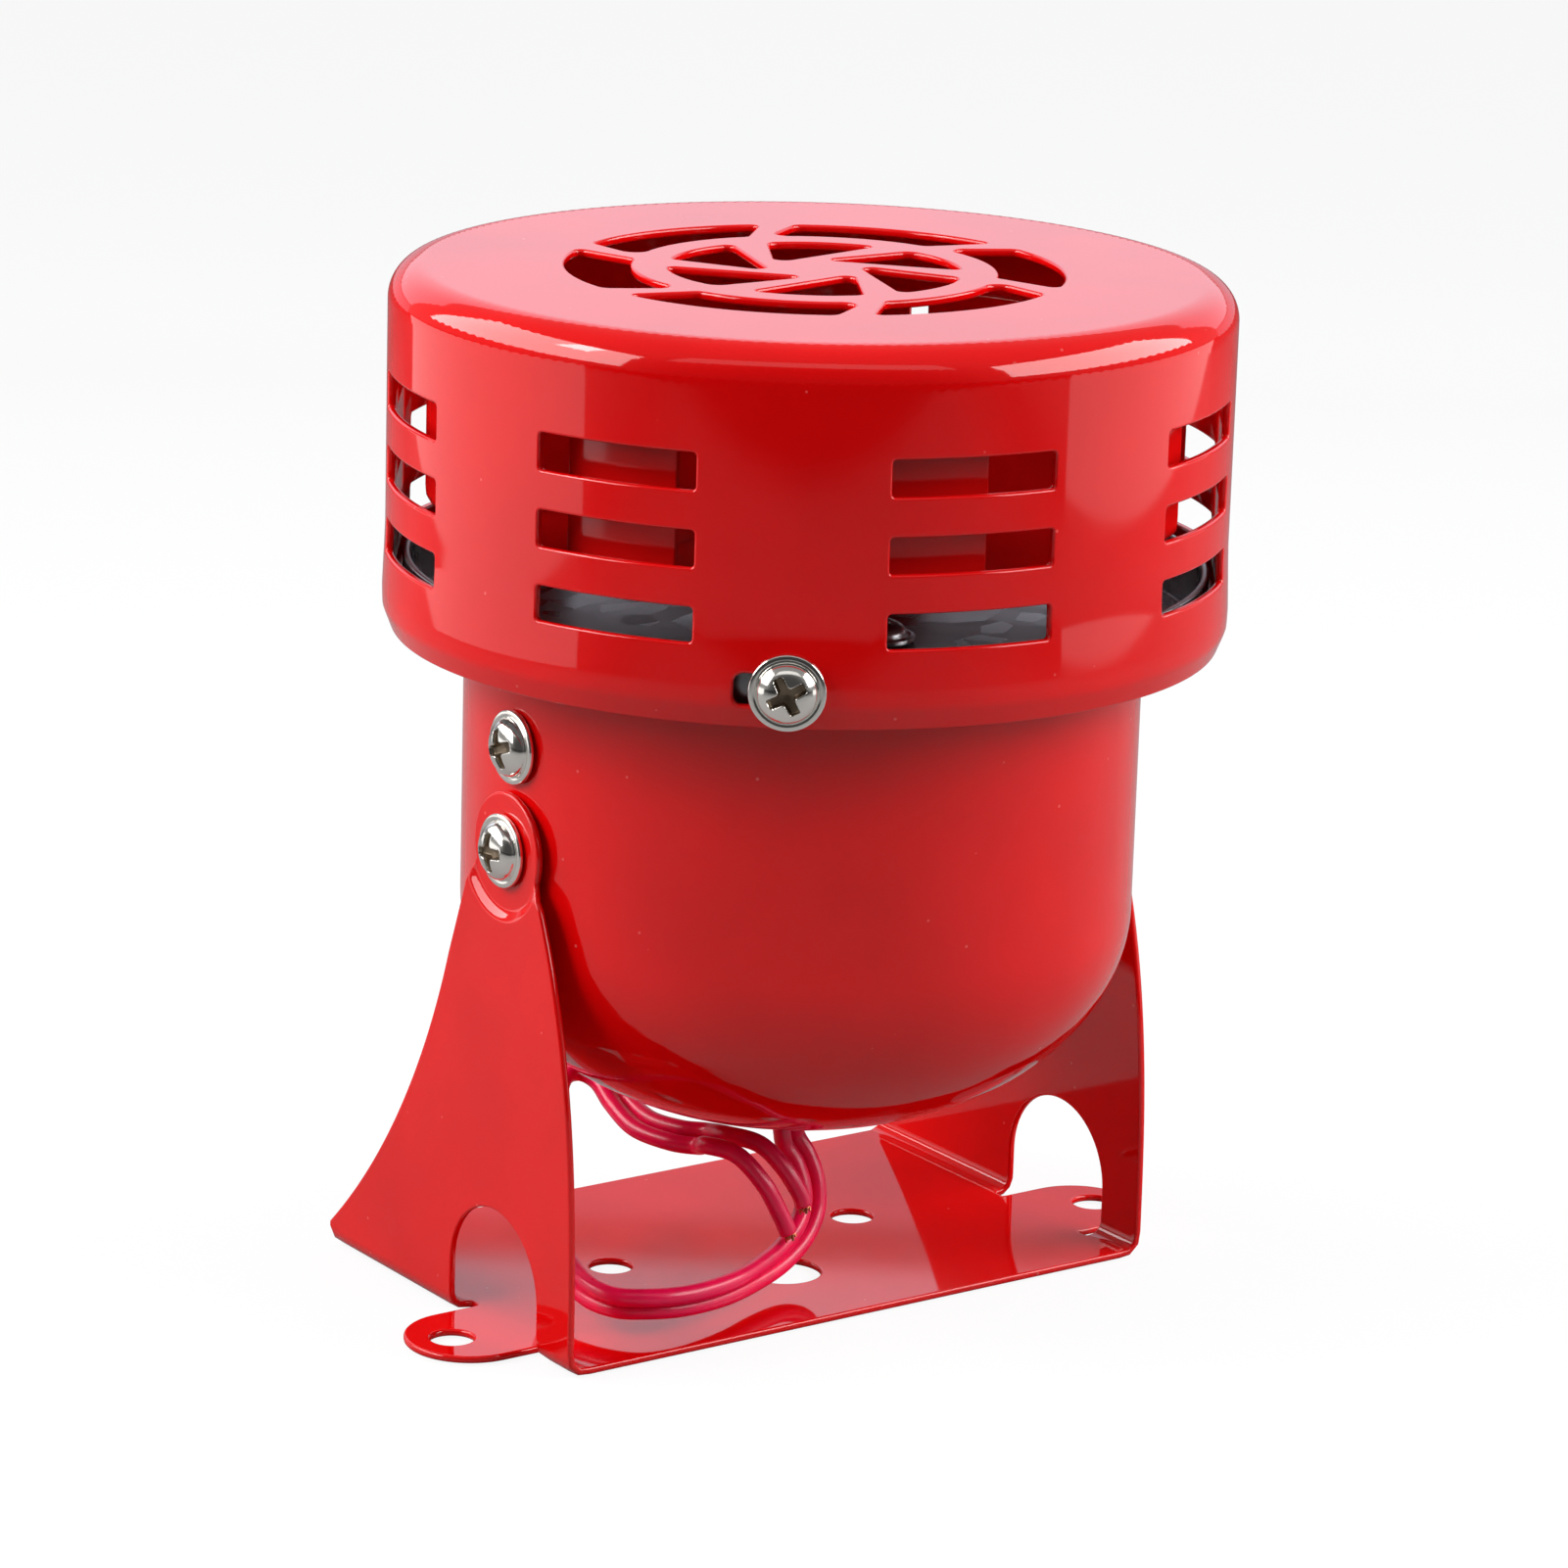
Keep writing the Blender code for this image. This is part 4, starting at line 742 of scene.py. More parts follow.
def build_pan(zinc):
    """Build the zinc-plated pan that closes the housing and carries the motor and the cap."""
    collar_out = HOUSING_R - HOUSING_SHEET - SHEET_GAP
    collar_in = collar_out - PAN_SHEET
    bottom = HOUSING_TOP + SHEET_GAP
    floor = bottom + PAN_SHEET
    rim_in = PAN_R - PAN_SHEET
    corners = [(PAN_BORE_R, bottom), (collar_in, bottom), (collar_in, COLLAR_BOTTOM),
               (collar_out, COLLAR_BOTTOM), (collar_out, bottom), (PAN_R, bottom),
               (PAN_R, PAN_TOP), (rim_in, PAN_TOP), (rim_in, floor), (PAN_BORE_R, floor)]
    pan = turned("pan", corners, AROUND, bevel=0.3 * MM)
    inside_wall = DRILL_DEPTH / 2.0
    drills = Mesh()
    for side, y in ((0.0, -MOTOR_SCREW_Y), (180.0, MOTOR_SCREW_Y)):
        angle = CAP_SCREW_ANGLE + side
        drill(drills, facing(polar(1.0, angle), polar(PAN_R - inside_wall, angle, CAP_SCREW.z)))
        drill(drills, facing(polar(1.0, side), polar(collar_in - inside_wall, side, HOUSING_SCREW_Z)))
        drill(drills, Matrix.Translation((0.0, y, bottom - 2.0 * MM)))
    cut(pan, drills)
    fit(pan, "mounting_pan", zinc)


# --- bracket ---------------------------------------------------------------
def blank_x(height):
    """Return the distance along the flat blank of a point at a height on the arm."""
    return FOLD_START + FOLD_LENGTH + height - BEND_R


def on_tab(s, v):
    """Tell which points of the blank are on a mounting tab, which stays flat."""
    centre = blank_x(ARCH_TOP - ARCH_R)
    reach = ARCH_R - 0.9 * MM
    return np.where(s < centre, np.abs(v) < reach, np.hypot(s - centre, v) < reach)


def fold(pattern, depth):
    """Map points of the flat blank to the folded bracket, a depth in from its outer face."""
    s = np.abs(pattern[:, 0])
    v = pattern[:, 1]
    sign = np.sign(pattern[:, 0])
    bend = np.clip((s - FOLD_START) / FOLD_LENGTH, 0.0, 1.0) * math.pi / 2.0
    rise = np.maximum(s - FOLD_START - FOLD_LENGTH, 0.0)
    reach = BEND_R - depth
    z = BEND_R - reach * np.cos(bend) + rise
    from_pad = np.hypot(v, BEND_R + rise - PIVOT_Z)
    pressed = smooth_step((PAD_R + PAD_BLEND - from_pad) / PAD_BLEND)
    x = np.minimum(s, FOLD_START) + reach * np.sin(bend) - PAD_STEP * pressed
    flat = (s <= FOLD_START) | on_tab(s, v)
    return np.stack([np.where(flat, pattern[:, 0], sign * x), v, np.where(flat, depth, z)], 1)


def arm_outline():
    """Return (blank x, y) round one arm: rear sweep, pad, front edge."""
    rear = arc(*REAR_SWEEP, 40)
    pad = arc((0.0, PIVOT_Z), PAD_R, -22.0, 202.0, 60)
    heights = np.linspace(55.0, 3.0, 30)
    front = np.stack([PLATE_FRONT + FRONT_SWEEP * (heights / FRONT_TOP) ** 3, heights * MM], 1)
    side = np.concatenate([[(PLATE_BACK, BEND_R)], rear, pad, front])
    return np.stack([blank_x(side[:, 1]), side[:, 0]], 1)


def tab_slit():
    """Return the U-shaped slit that frees a mounting tab from its arm."""
    root = FOLD_START - 0.6 * MM
    arch = arc((blank_x(ARCH_TOP - ARCH_R), 0.0), ARCH_R, -90.0, 90.0, 40)
    tab = arc((TAB_END - TAB_R, 0.0), TAB_R, 90.0, -90.0, 36)
    bend = [(root, ARCH_R, SLIT_CORNER), (root, TAB_R, SLIT_CORNER)]
    back = [(root, -TAB_R, SLIT_CORNER), (root, -ARCH_R, SLIT_CORNER)]
    outline = [(*p, 0.0) for p in arch] + bend + [(*p, 0.0) for p in tab] + back
    return divided(rounded(outline, step=30.0), 1.2 * MM)


def bracket_points():
    """Return the points inside the blank that let it bend and let its pads be pressed."""
    points = []
    for sign in (1.0, -1.0):
        pivot = (sign * blank_x(PIVOT_Z), 0.0)
        for i in range(12):
            points.append(circle(pivot, PAD_R - 0.4 * MM + 0.22 * MM * i, 72))
        for i in range(9):
            x = sign * (FOLD_START + FOLD_LENGTH * i / 8.0)
            line = np.linspace(PLATE_FRONT, PLATE_BACK, 40)
            points.append(np.stack([0.0 * line + x, line], 1))
        heights = np.arange(6.0 * MM, 52.0 * MM, 3.0 * MM)
        across = np.arange(PLATE_FRONT, PLATE_BACK, 3.0 * MM)
        grid = np.stack(np.meshgrid(sign * blank_x(heights), across), -1).reshape(-1, 2)
        clear = np.hypot(grid[:, 0] - pivot[0], grid[:, 1]) > PAD_R + PAD_BLEND + MM
        points.append(grid[clear])
    grid = np.meshgrid(np.arange(-36.0, 37.0, 4.0) * MM, np.arange(PLATE_FRONT, PLATE_BACK, 4.0 * MM))
    points.append(np.stack(grid, -1).reshape(-1, 2))
    return np.concatenate(points)


def build_bracket(paint):
    """Fold the bracket from one blank: base plate, two arms with pressed pads, two tabs."""
    arm = arm_outline()
    mirror = np.array([-1.0, 1.0])
    outer = divided(np.concatenate([arm, (arm * mirror)[::-1]]), 1.5 * MM)
    slit = tab_slit()
    holes = [slit, slit * mirror, circle(CABLE_HOLE, CABLE_HOLE_R, 64)]
    holes += [circle(centre, FIXING_HOLE_R, 48) for centre in PLATE_HOLES]
    for sign in (1.0, -1.0):
        holes.append(circle((sign * TAB_HOLE_X, 0.0), FIXING_HOLE_R, 48))
        holes.append(circle((sign * blank_x(PIVOT_Z), 0.0), HOLE_R, 36))
    mesh = Mesh()
    add_sheet(mesh, fold, BRACKET_SHEET, outer, holes, bracket_points())
    fit(make("bracket_sheet", mesh), "mounting_bracket", paint)


# --- screws, nuts and washers ----------------------------------------------
def cross_recess(x, y):
    """Return the depth of the cross recess under each point of a screw head."""
    along = np.maximum(np.abs(x), np.abs(y))
    across = np.minimum(np.abs(x), np.abs(y))
    radius = np.hypot(x, y)
    arm = np.minimum(RECESS_ARM - RECESS_TAPER * along - across, RECESS_REACH - along)
    inner = np.maximum(arm, RECESS_CORE - radius)
    depth = RECESS_DEPTH - RECESS_FALL * radius
    return depth * smooth_step(0.3 + inner / RECESS_WALL)


def thread(z, angles, outer, depth):
    """Return the radius of a V thread at a height for each angle."""
    phase = (z / THREAD_PITCH + angles / (2.0 * math.pi)) % 1.0
    return outer - depth * np.abs(2.0 * phase - 1.0)


def screw_mesh(shank):
    """Build a flanged pan head screw along local Z, its flange resting at zero."""
    angles = angles_round(SMALL_AROUND)
    rows = []
    crown = HEAD_H - FLANGE_H
    radii = list(np.linspace(0.0, 2.5, 34) * MM)
    radii += [HEAD_R * math.sin(math.radians(a)) for a in np.linspace(48.0, 88.0, 12)]
    for radius in radii:
        x = radius * np.cos(angles)
        y = radius * np.sin(angles)
        z = FLANGE_H + crown * math.sqrt(max(0.0, 1.0 - (radius / HEAD_R) ** 2)) - cross_recess(x, y)
        rows.append(np.stack([x, y, z], 1))
    washer = [(HEAD_R + 0.02 * MM, FLANGE_H, 0.0), (HEAD_R + 0.12 * MM, FLANGE_H - 0.14 * MM, 0.08 * MM),
              (HEAD_R + 0.4 * MM, FLANGE_H - 0.02 * MM, 0.12 * MM),
              (FLANGE_R, FLANGE_H - 0.06 * MM, 0.22 * MM), (FLANGE_R, 0.0, 0.18 * MM),
              (SHANK_R, 0.0, 0.1 * MM), (SHANK_R, -0.4 * MM, 0.0)]
    rows += [circle_row(r, z, SMALL_AROUND) for r, z in rounded(washer, closed=False, step=25.0)]
    for z in np.arange(-0.5 * MM, -shank + 0.4 * MM, -THREAD_PITCH / 4.0):
        rows.append(circle_row(thread(z, angles, SHANK_R, THREAD_DEPTH), z, SMALL_AROUND))
    rows.append(circle_row(SHANK_R - 0.35 * MM, -shank, SMALL_AROUND))
    rows.append(circle_row(0.0, -shank, SMALL_AROUND))
    mesh = Mesh()
    rows_mesh(mesh, rows)
    return mesh


def seat_of(node, direction, height):
    """Return the point on a CAD node's axis that lies a height short of its far end."""
    axis = Vector(direction)
    middle = middle_of(node)
    return middle + axis * (far_along(node, axis) - height - middle.dot(axis))


def build_screw(node, direction, shank, spin, material):
    """Put a screw where its CAD node is, its head facing along a direction."""
    place = facing(direction, seat_of(node, direction, HEAD_H), spin)
    fit(make(node + "_cross", screw_mesh(shank), 50.0, place, weld=1e-7), node, material)


def nut_mesh(across, height, bore):
    """Build a chamfered, threaded hexagon nut along local Z from zero."""
    angles = angles_round(SMALL_AROUND)
    sixth = math.pi / 3.0
    hexagon = across / 2.0 / np.cos((angles + sixth / 2.0) % sixth - sixth / 2.0)
    rows = []
    for z in np.concatenate([np.linspace(0.0, 0.25, 6), np.linspace(0.75, 1.0, 6)]) * height:
        nearest = min(z, height - z)
        cone = 0.485 * across + nearest * 1.75
        rows.append(circle_row(np.minimum(hexagon, cone), z, SMALL_AROUND))
    rows.append(circle_row(bore + NUT_CHAMFER, height, SMALL_AROUND))
    for z in np.arange(height - 0.25 * MM, 0.2 * MM, -THREAD_PITCH / 4.0):
        rows.append(circle_row(thread(z, angles, bore, -THREAD_DEPTH * 0.8), z, SMALL_AROUND))
    rows.append(circle_row(bore + NUT_CHAMFER, 0.0, SMALL_AROUND))
    mesh = Mesh()
    rows_mesh(mesh, rows, closed=True)
    return mesh


def build_nut(node, direction, material, across=NUT_ACROSS, height=NUT_H, bore=SHANK_R + NUT_CLEARANCE):
    """Put a nut where its CAD node is; it extends along a direction."""
    place = facing(direction, seat_of(node, direction, height))
    fit(make(node + "_hex", nut_mesh(across, height, bore), 30.0, place), node, material)


def build_lock_washer(node, direction, material):
    """Put a split spring washer where its CAD node is."""
    section = rounded(LOCK_WASHER_SECTION, step=30.0)
    rows = []
    for angle in np.radians(np.linspace(5.0, 355.0, 90)):
        lift = 0.10 * (angle / math.pi - 1.0)
        ring = [(r * math.cos(angle), r * math.sin(angle), z * 0.8 + lift) for r, z in section]
        rows.append(np.array(ring) * MM)
    mesh = Mesh()
    pipe_mesh(mesh, rows)
    place = facing(direction, seat_of(node, direction, LOCK_WASHER_H))
    fit(make(node + "_split", mesh, 40.0, place), node, material)


def build_fasteners(nickel, zinc, steel):
    """Build the screws, nuts and lock washers of the cap, the housing and the pivots."""
    for side, sign in (("left", -1.0), ("right", 1.0)):
        outward = Vector((sign, 0.0, 0.0))
        build_screw("pivot_screw_" + side, outward, 7.0 * MM, 5.0, nickel)
        build_screw("housing_screw_" + side, outward, 7.0 * MM, 20.0, nickel)
        build_nut("pivot_nut_" + side, -outward, zinc)
        build_nut("housing_nut_" + side, -outward, zinc)
        build_lock_washer("lock_washer_" + side, -outward, steel)
    for side, angle, spin in (("front", CAP_SCREW_ANGLE, 28.0), ("back", CAP_SCREW_ANGLE + 180.0, 64.0)):
        outward = polar(1.0, angle)
        build_screw("cap_screw_" + side, outward, 7.5 * MM, spin, nickel)
        build_nut("cap_nut_" + side, -outward, zinc)
        build_screw("motor_screw_" + side, Vector((0.0, 0.0, 1.0)), 7.6 * MM, spin, zinc)
    build_nut("rotor_nut", (0.0, 0.0, 1.0), zinc, 8.0 * MM, 3.6 * MM, 2.56 * MM)


# --- leads -----------------------------------------------------------------
def lead_paths():
    """Return the two leads' waypoints: side by side round the loop, then apart to their cut ends."""
    loop = [Vector(p) * MM for p in LEAD_LOOP]
    lean = math.radians(LEAD_LEAN)
    paths = []
    for sign, tail in ((1.0, OUTER_TAIL), (-1.0, INNER_TAIL)):
        path = [Vector((sign * x, sign * y, z)) * MM for x, y, z in LEAD_HEAD]
        for i, point in enumerate(loop):
            ahead = loop[min(i + 1, len(loop) - 1)] - loop[max(i - 1, 0)]
            ahead.normalize()
            out = ahead.cross(LOOP_AXIS).normalized()
            offset = out * math.cos(lean) + out.cross(ahead) * math.sin(lean)
            path.append(point + offset * sign * LEAD_SPACING / 2.0)
        paths.append(path + [Vector(p) * MM for p in tail])
    return paths


def path_frames(path):
    """Return a frame (side, other, ahead) at each point of a path, without twist."""
    frames = []
    side = Vector((0.0, 0.0, 1.0)).cross(path[1] - path[0])
    for i in range(len(path)):
        ahead = (path[min(i + 1, len(path) - 1)] - path[max(i - 1, 0)]).normalized()
        side = (side - ahead * side.dot(ahead)).normalized()
        frames.append((side, ahead.cross(side), ahead))
    return frames


def add_tube(mesh, path, radii, sides):
    """Add a closed tube along a path whose radius is given at each point."""
    angles = angles_round(sides)
    rows = []
    for point, radius, (side, other, _) in zip(path, radii, path_frames(path)):
        out = np.outer(np.cos(angles), side) + np.outer(np.sin(angles), other)
        rows.append(np.array(point) + radius * out)
    pipe_mesh(mesh, rows)


def build_leads(pvc, copper, rubber):
    """Build the two insulated leads, the bare strands at their ends, and the grommet."""
    for name, waypoints in zip(("outer", "inner"), lead_paths()):
        path = spline(waypoints, 10)
        end = path[-1]
        ahead = (end - path[-2]).normalized()
        radii = [LEAD_R] * (len(path) - 1) + [LEAD_R - LEAD_END_EASE, LEAD_R - LEAD_END_FLAT]
        path.append(end + ahead * LEAD_END_EASE)
        mesh = Mesh()
        add_tube(mesh, path, radii, 28)
        fit(make("lead_" + name + "_pvc", mesh, 50.0), "lead_" + name, pvc)
        build_strands("strand_end_" + name, end, ahead, copper)
    grommet = turned("grommet", [(r * MM, HOUSING_BOTTOM + z * MM) for r, z in GROMMET_OUTLINE])
    fit(grommet, "cable_grommet", rubber)


def build_strands(node, start, ahead, copper):
    """Build the bundle of copper strands that stands out of a cut lead."""
    end_frame = facing(ahead, start)
    centres = [(0.0, 0.0)]
    for count, radius, phase in STRAND_RINGS:
        last = phase + 360.0 * (1 - 1 / count)
        centres += [tuple(p) for p in arc((0.0, 0.0), radius, phase, last, count)]
    mesh = Mesh()
    for i, centre in enumerate(centres):
        length = 0.5 + 0.3 * math.sin(2.4 * i)
        path = []
        for t in np.linspace(0.0, 1.0, 6):
            x, y = Matrix.Rotation(math.radians(28.0 * t), 2) @ Vector(centre) * (1.0 + 0.08 * t)
            path.append(end_frame @ (Vector((x, y, 0.12 + length * t)) * MM))
        add_tube(mesh, path, [STRAND_R] * len(path), 10)
    fit(make(node + "_copper", mesh, 50.0), node, copper)


# --- rotor -----------------------------------------------------------------
def build_rotor(paint):
    """Build the chopper drum: a dished disc with eight tabs and eight vanes."""
    corners = [(0.0, DRUM_BOTTOM, 0.0), (DRUM_R, DRUM_BOTTOM, DRUM_CORNER), (DRUM_R, DRUM_TOP, 0.0)]
    profile = Profile(corners, -1.0)
    low = DRUM_R - DRUM_CORNER
    high = profile.length[-1]
    edge = []
    for i in range(TABS):
        first = TAB_CENTRE + i * TAB_PITCH - TAB_WIDTH / 2.0
        last = first + TAB_WIDTH
        edge += bowed(high, first, last, 16, 1.0 * MM, 1.0 * MM)
        edge += bowed(low, last, first + TAB_PITCH, 16, 0.8 * MM, 0.8 * MM)
    outline = divided(rounded(open_corners(edge), step=18.0), 1.2 * MM)
    points = profile.rings(3.0 * MM, (low - MM, low + 4.0 * MM), 0.4 * MM, 5.0 * MM)
    mesh = Mesh()
    add_sheet(mesh, profile.place, DRUM_SHEET, outline, [circle((0.0, 0.0), DRUM_HOLE_R, 48)], points,
              stretch=profile.stretch)
    for i in range(TABS):
        add_vane(mesh, TAB_CENTRE + i * TAB_PITCH)
    fit(make("chopper_drum", mesh), "chopper_rotor", paint)


def add_vane(mesh, degrees):
    """Add one upright vane, a plate that runs out to its tab."""
    out = np.array(polar(1.0, degrees))
    beside = np.array([-out[1], out[0], 0.0])

    def place(pattern, depth):
        """Map (distance from the shaft, height) to space, a depth in from one face."""
        return (np.outer(pattern[:, 0], out) + np.outer(pattern[:, 1], (0.0, 0.0, 1.0))
                + beside * (DRUM_SHEET / 2.0 - depth))

    low = DRUM_BOTTOM + DRUM_SHEET - 0.1 * MM
    end = DRUM_R - DRUM_SHEET + 0.1 * MM
    shape = [(VANE_FOOT, low, 0.0), (end, low, 0.0), (end, VANE_TOP, 0.0), (VANE_HEAD, VANE_TOP, 3.0 * MM)]
    add_sheet(mesh, place, DRUM_SHEET, divided(rounded(shape), 2.0 * MM))


# --- motor -----------------------------------------------------------------
def eased(node, material, width):
    """Keep a CAD node as it is, with its edges eased and a better material."""
    obj = NODES[node]
    bevel = obj.modifiers.new("eased edges", "BEVEL")
    bevel.width = width
    bevel.segments = 3
    bevel.limit_method = "ANGLE"
    bevel.angle_limit = math.radians(40.0)
    bevel.harden_normals = True
    obj.data.materials.clear()
    obj.data.materials.append(material)


def turned_node(node, name, corners, material, bevel):
    """Build a turned piece of the motor from a millimetre outline."""
    obj = turned(name, [(r * MM, z * MM) for r, z in corners], bevel=bevel * MM)
    if node in DRILLED_PIECES:
        drills = Mesh()
        for y in (MOTOR_SCREW_Y, -MOTOR_SCREW_Y):
            drill(drills, Matrix.Translation((0.0, y, 70.0 * MM)), 20.0 * MM)
        cut(obj, drills)
    fit(obj, node, material)


def build_motor(looks):
    """Build the motor inside the housing and carry over its small CAD parts."""
    for node, name, look, bevel, corners in TURNED_PIECES:
        turned_node(node, name, corners, looks[look], bevel)
    build_shaft(looks["steel"])
    build_core(looks["steel"])
    build_winding(looks["enamel"])
    build_commutator(looks["copper"])
    for node, look, width in EASED_PIECES:
        eased(node, looks[look], width * MM)


def build_shaft(steel):
    """Build the motor shaft: chamfered ends and a snap-ring groove."""
    mesh = Mesh()
    rows_mesh(mesh, [circle_row(r * MM, z * MM, SMALL_AROUND) for r, z in SHAFT_OUTLINE])
    fit(make("shaft", mesh, 35.0, weld=1e-7), "motor_shaft", steel)


def build_core(steel):
    """Build the laminated core: eight teeth with slots for the wire between them."""
    outline = []
    for i in range(TABS):
        middle = i * TAB_PITCH
        outline += bowed(CORE_R, middle + SLOT_MOUTH, middle + TAB_PITCH - SLOT_MOUTH, 14)
        turn = Matrix.Rotation(math.radians(middle + TAB_PITCH), 2)
        outline += [(*(turn @ Vector((x * MM, y * MM))), r * MM) for x, y, r in CORE_SLOT]
    low, high = heights_of("armature_core")
    sheet = (high - low) / LAMINATIONS
    levels = [(LAMINATION_EDGE, 0.0)]
    for i in range(LAMINATIONS):
        levels += [(0.0, sheet * (i + 0.15)), (0.0, sheet * (i + 0.85))]
        levels.append((LAMINATION_EDGE, sheet * (i + 1.0)))
    levels[-1] = (LAMINATION_EDGE, high - low)

    def place(pattern, depth):
        """Stack the outline down from the top of the core."""
        return np.stack([pattern[:, 0], pattern[:, 1], high - depth + 0.0 * pattern[:, 0]], 1)

    mesh = Mesh()
    bore = circle((0.0, 0.0), CORE_BORE_R, 48)
    add_sheet(mesh, place, high - low, rounded(outline, step=30.0), [bore], levels=levels)
    fit(make("laminations", mesh, 30.0), "armature_core", steel)


def build_commutator(copper):
    """Build the commutator: copper bars with grooves between them."""
    low, high = heights_of("commutator")
    from_groove = np.degrees(angles_round(SMALL_AROUND)) + TAB_PITCH / 2.0
    from_groove = np.abs(from_groove % TAB_PITCH - TAB_PITCH / 2.0)
    outer = np.where(from_groove < 3.0, BAR_GROOVE_R, BAR_R)
    outline = ((BAR_BORE_R, low), (outer - BAR_EDGE, low), (outer, low + BAR_EDGE),
               (outer, high - BAR_EDGE), (outer - BAR_EDGE, high), (BAR_BORE_R, high))
    mesh = Mesh()
    rows_mesh(mesh, [circle_row(r, z, SMALL_AROUND) for r, z in outline], closed=True)
    fit(make("commutator_bars", mesh, 30.0), "commutator", copper)


def build_winding(enamel):
    """Build the winding: wires that run up the slots and lie across both ends."""
    angles = angles_round(COIL_SEGMENTS)
    mesh = Mesh()
    for base, top in COIL_ENDS:
        rows = []
        for t in angles_round(32):
            wires = 0.16 * np.abs(np.sin(20.0 * angles + 3.0 * math.cos(t)))
            radius = COIL_R + (COIL_HALF_WIDTH + wires) * math.cos(t)
            height = (base + top) / 2.0 + (abs(top - base) / 2.0 - 0.2 + wires) * math.sin(t)
            rows.append(circle_row(radius * MM, height * MM, COIL_SEGMENTS))
        rows_mesh(mesh, rows, closed=True)
    for i in range(TABS):
        turn = Matrix.Rotation(math.radians(i * TAB_PITCH), 3, "Z")
        for column in range(6):
            for row in range(5):
                foot = turn @ Vector(((9.7 + column * 0.98) * MM, (row - 2.0) * 0.86 * MM, 0.0))
                path = [foot + Vector((0.0, 0.0, z * MM)) for z in np.linspace(48.6, 71.4, 4)]
                add_tube(mesh, path, [SLOT_WIRE_R] * len(path), 8)
    fit(make("coils", mesh, 60.0), "armature_winding", enamel)


# --- materials -------------------------------------------------------------
NIB_COLOUR = (0.85, 0.16, 0.15, 1.0)
NICKEL = (0.83, 0.80, 0.75)


class Look:
    """A Principled material under construction."""

    def __init__(self, name, colour, metallic, roughness):
        self.material = bpy.data.materials.new(name)
        self.material.use_nodes = True
        self.tree = self.material.node_tree
        self.shader = self.tree.nodes["Principled BSDF"]
        self.coords = self.tree.nodes.new("ShaderNodeTexCoord").outputs["Object"]
        self.shader.inputs["Base Color"].default_value = (*colour, 1.0)
        self.shader.inputs["Metallic"].default_value = metallic
        self.shader.inputs["Roughness"].default_value = roughness
        self.height = None

    def feed(self, socket, value):
        """Link another socket to a socket, or set its number."""
        if hasattr(value, "is_linked"):
            self.tree.links.new(value, socket)
        else:
            socket.default_value = value

    def node(self, kind, **values):
        """Add a node; a value is an input's number or the socket to link to it."""
        node = self.tree.nodes.new(kind)
        for name, value in values.items():
            self.feed(node.inputs[name.replace("_", " ")], value)
        return node

    def set(self, name, value):
        """Set an input of the shader to a number or a socket."""
        self.feed(self.shader.inputs[name], value)

    def noise(self, scale, detail=3.0):
        """Return a noise value at so many cycles per metre."""
        return self.node("ShaderNodeTexNoise", Vector=self.coords, Scale=scale, Detail=detail).outputs["Fac"]

    def cells(self, scale, output="Distance"):
        """Return the distance to, or the colour of, the nearest of so many cells per metre."""
        return self.node("ShaderNodeTexVoronoi", Vector=self.coords, Scale=scale).outputs[output]

    def ramp(self, value, *stops):
        """Map a value to colours; each stop is (position, colour)."""
        node = self.node("ShaderNodeValToRGB", Fac=value)
        elements = node.color_ramp.elements
        for i, (position, colour) in enumerate(stops):
            element = elements[i] if i < 2 else elements.new(position)
            element.position = position
            element.color = (*colour, 1.0)
        return node.outputs["Color"]

    def between(self, value, low, high):
        """Map a 0 to 1 value to a range."""
        return self.node("ShaderNodeMapRange", Value=value, To_Min=low, To_Max=high).outputs["Result"]

    def bump(self, height, distance, strength=1.0):
        """Add a bump of a height in metres on top of the ones before it."""
        node = self.node("ShaderNodeBump", Height=height, Distance=distance, Strength=strength)
        if self.height is not None:
            self.tree.links.new(self.height, node.inputs["Normal"])
        self.height = node.outputs["Normal"]
        self.set("Normal", self.height)


def paint_look(name, colour, gloss=0.05):
    """Return glossy baked paint: faint orange peel, dust nibs and a slightly uneven tone."""
    look = Look(name, colour, 0.0, 0.42)
    deep = tuple(c * 0.93 for c in colour)
    light = tuple(min(1.0, c * 1.05) for c in colour)
    tone = look.ramp(look.noise(55.0, 2.0), (0.3, deep), (0.7, light))
    dust = look.ramp(look.cells(210.0), (0.03, (1.0, 1.0, 1.0)), (0.05, (0.0, 0.0, 0.0)))
    mix = look.node("ShaderNodeMix")
    mix.data_type = "RGBA"
    look.feed(mix.inputs["A"], tone)
    look.feed(mix.inputs["B"], NIB_COLOUR)
    look.feed(mix.inputs["Factor"], look.between(dust, 0.0, 0.45))
    look.set("Base Color", mix.outputs["Result"])
    look.set("Coat Weight", 1.0)
    look.set("Coat Roughness", look.between(look.noise(160.0), gloss * 0.7, gloss * 1.3))
    look.set("Specular IOR Level", 0.0)
    look.bump(look.noise(420.0, 1.0), 0.010 * MM, 0.35)
    look.bump(dust, 0.03 * MM, 0.6)
    return look.material


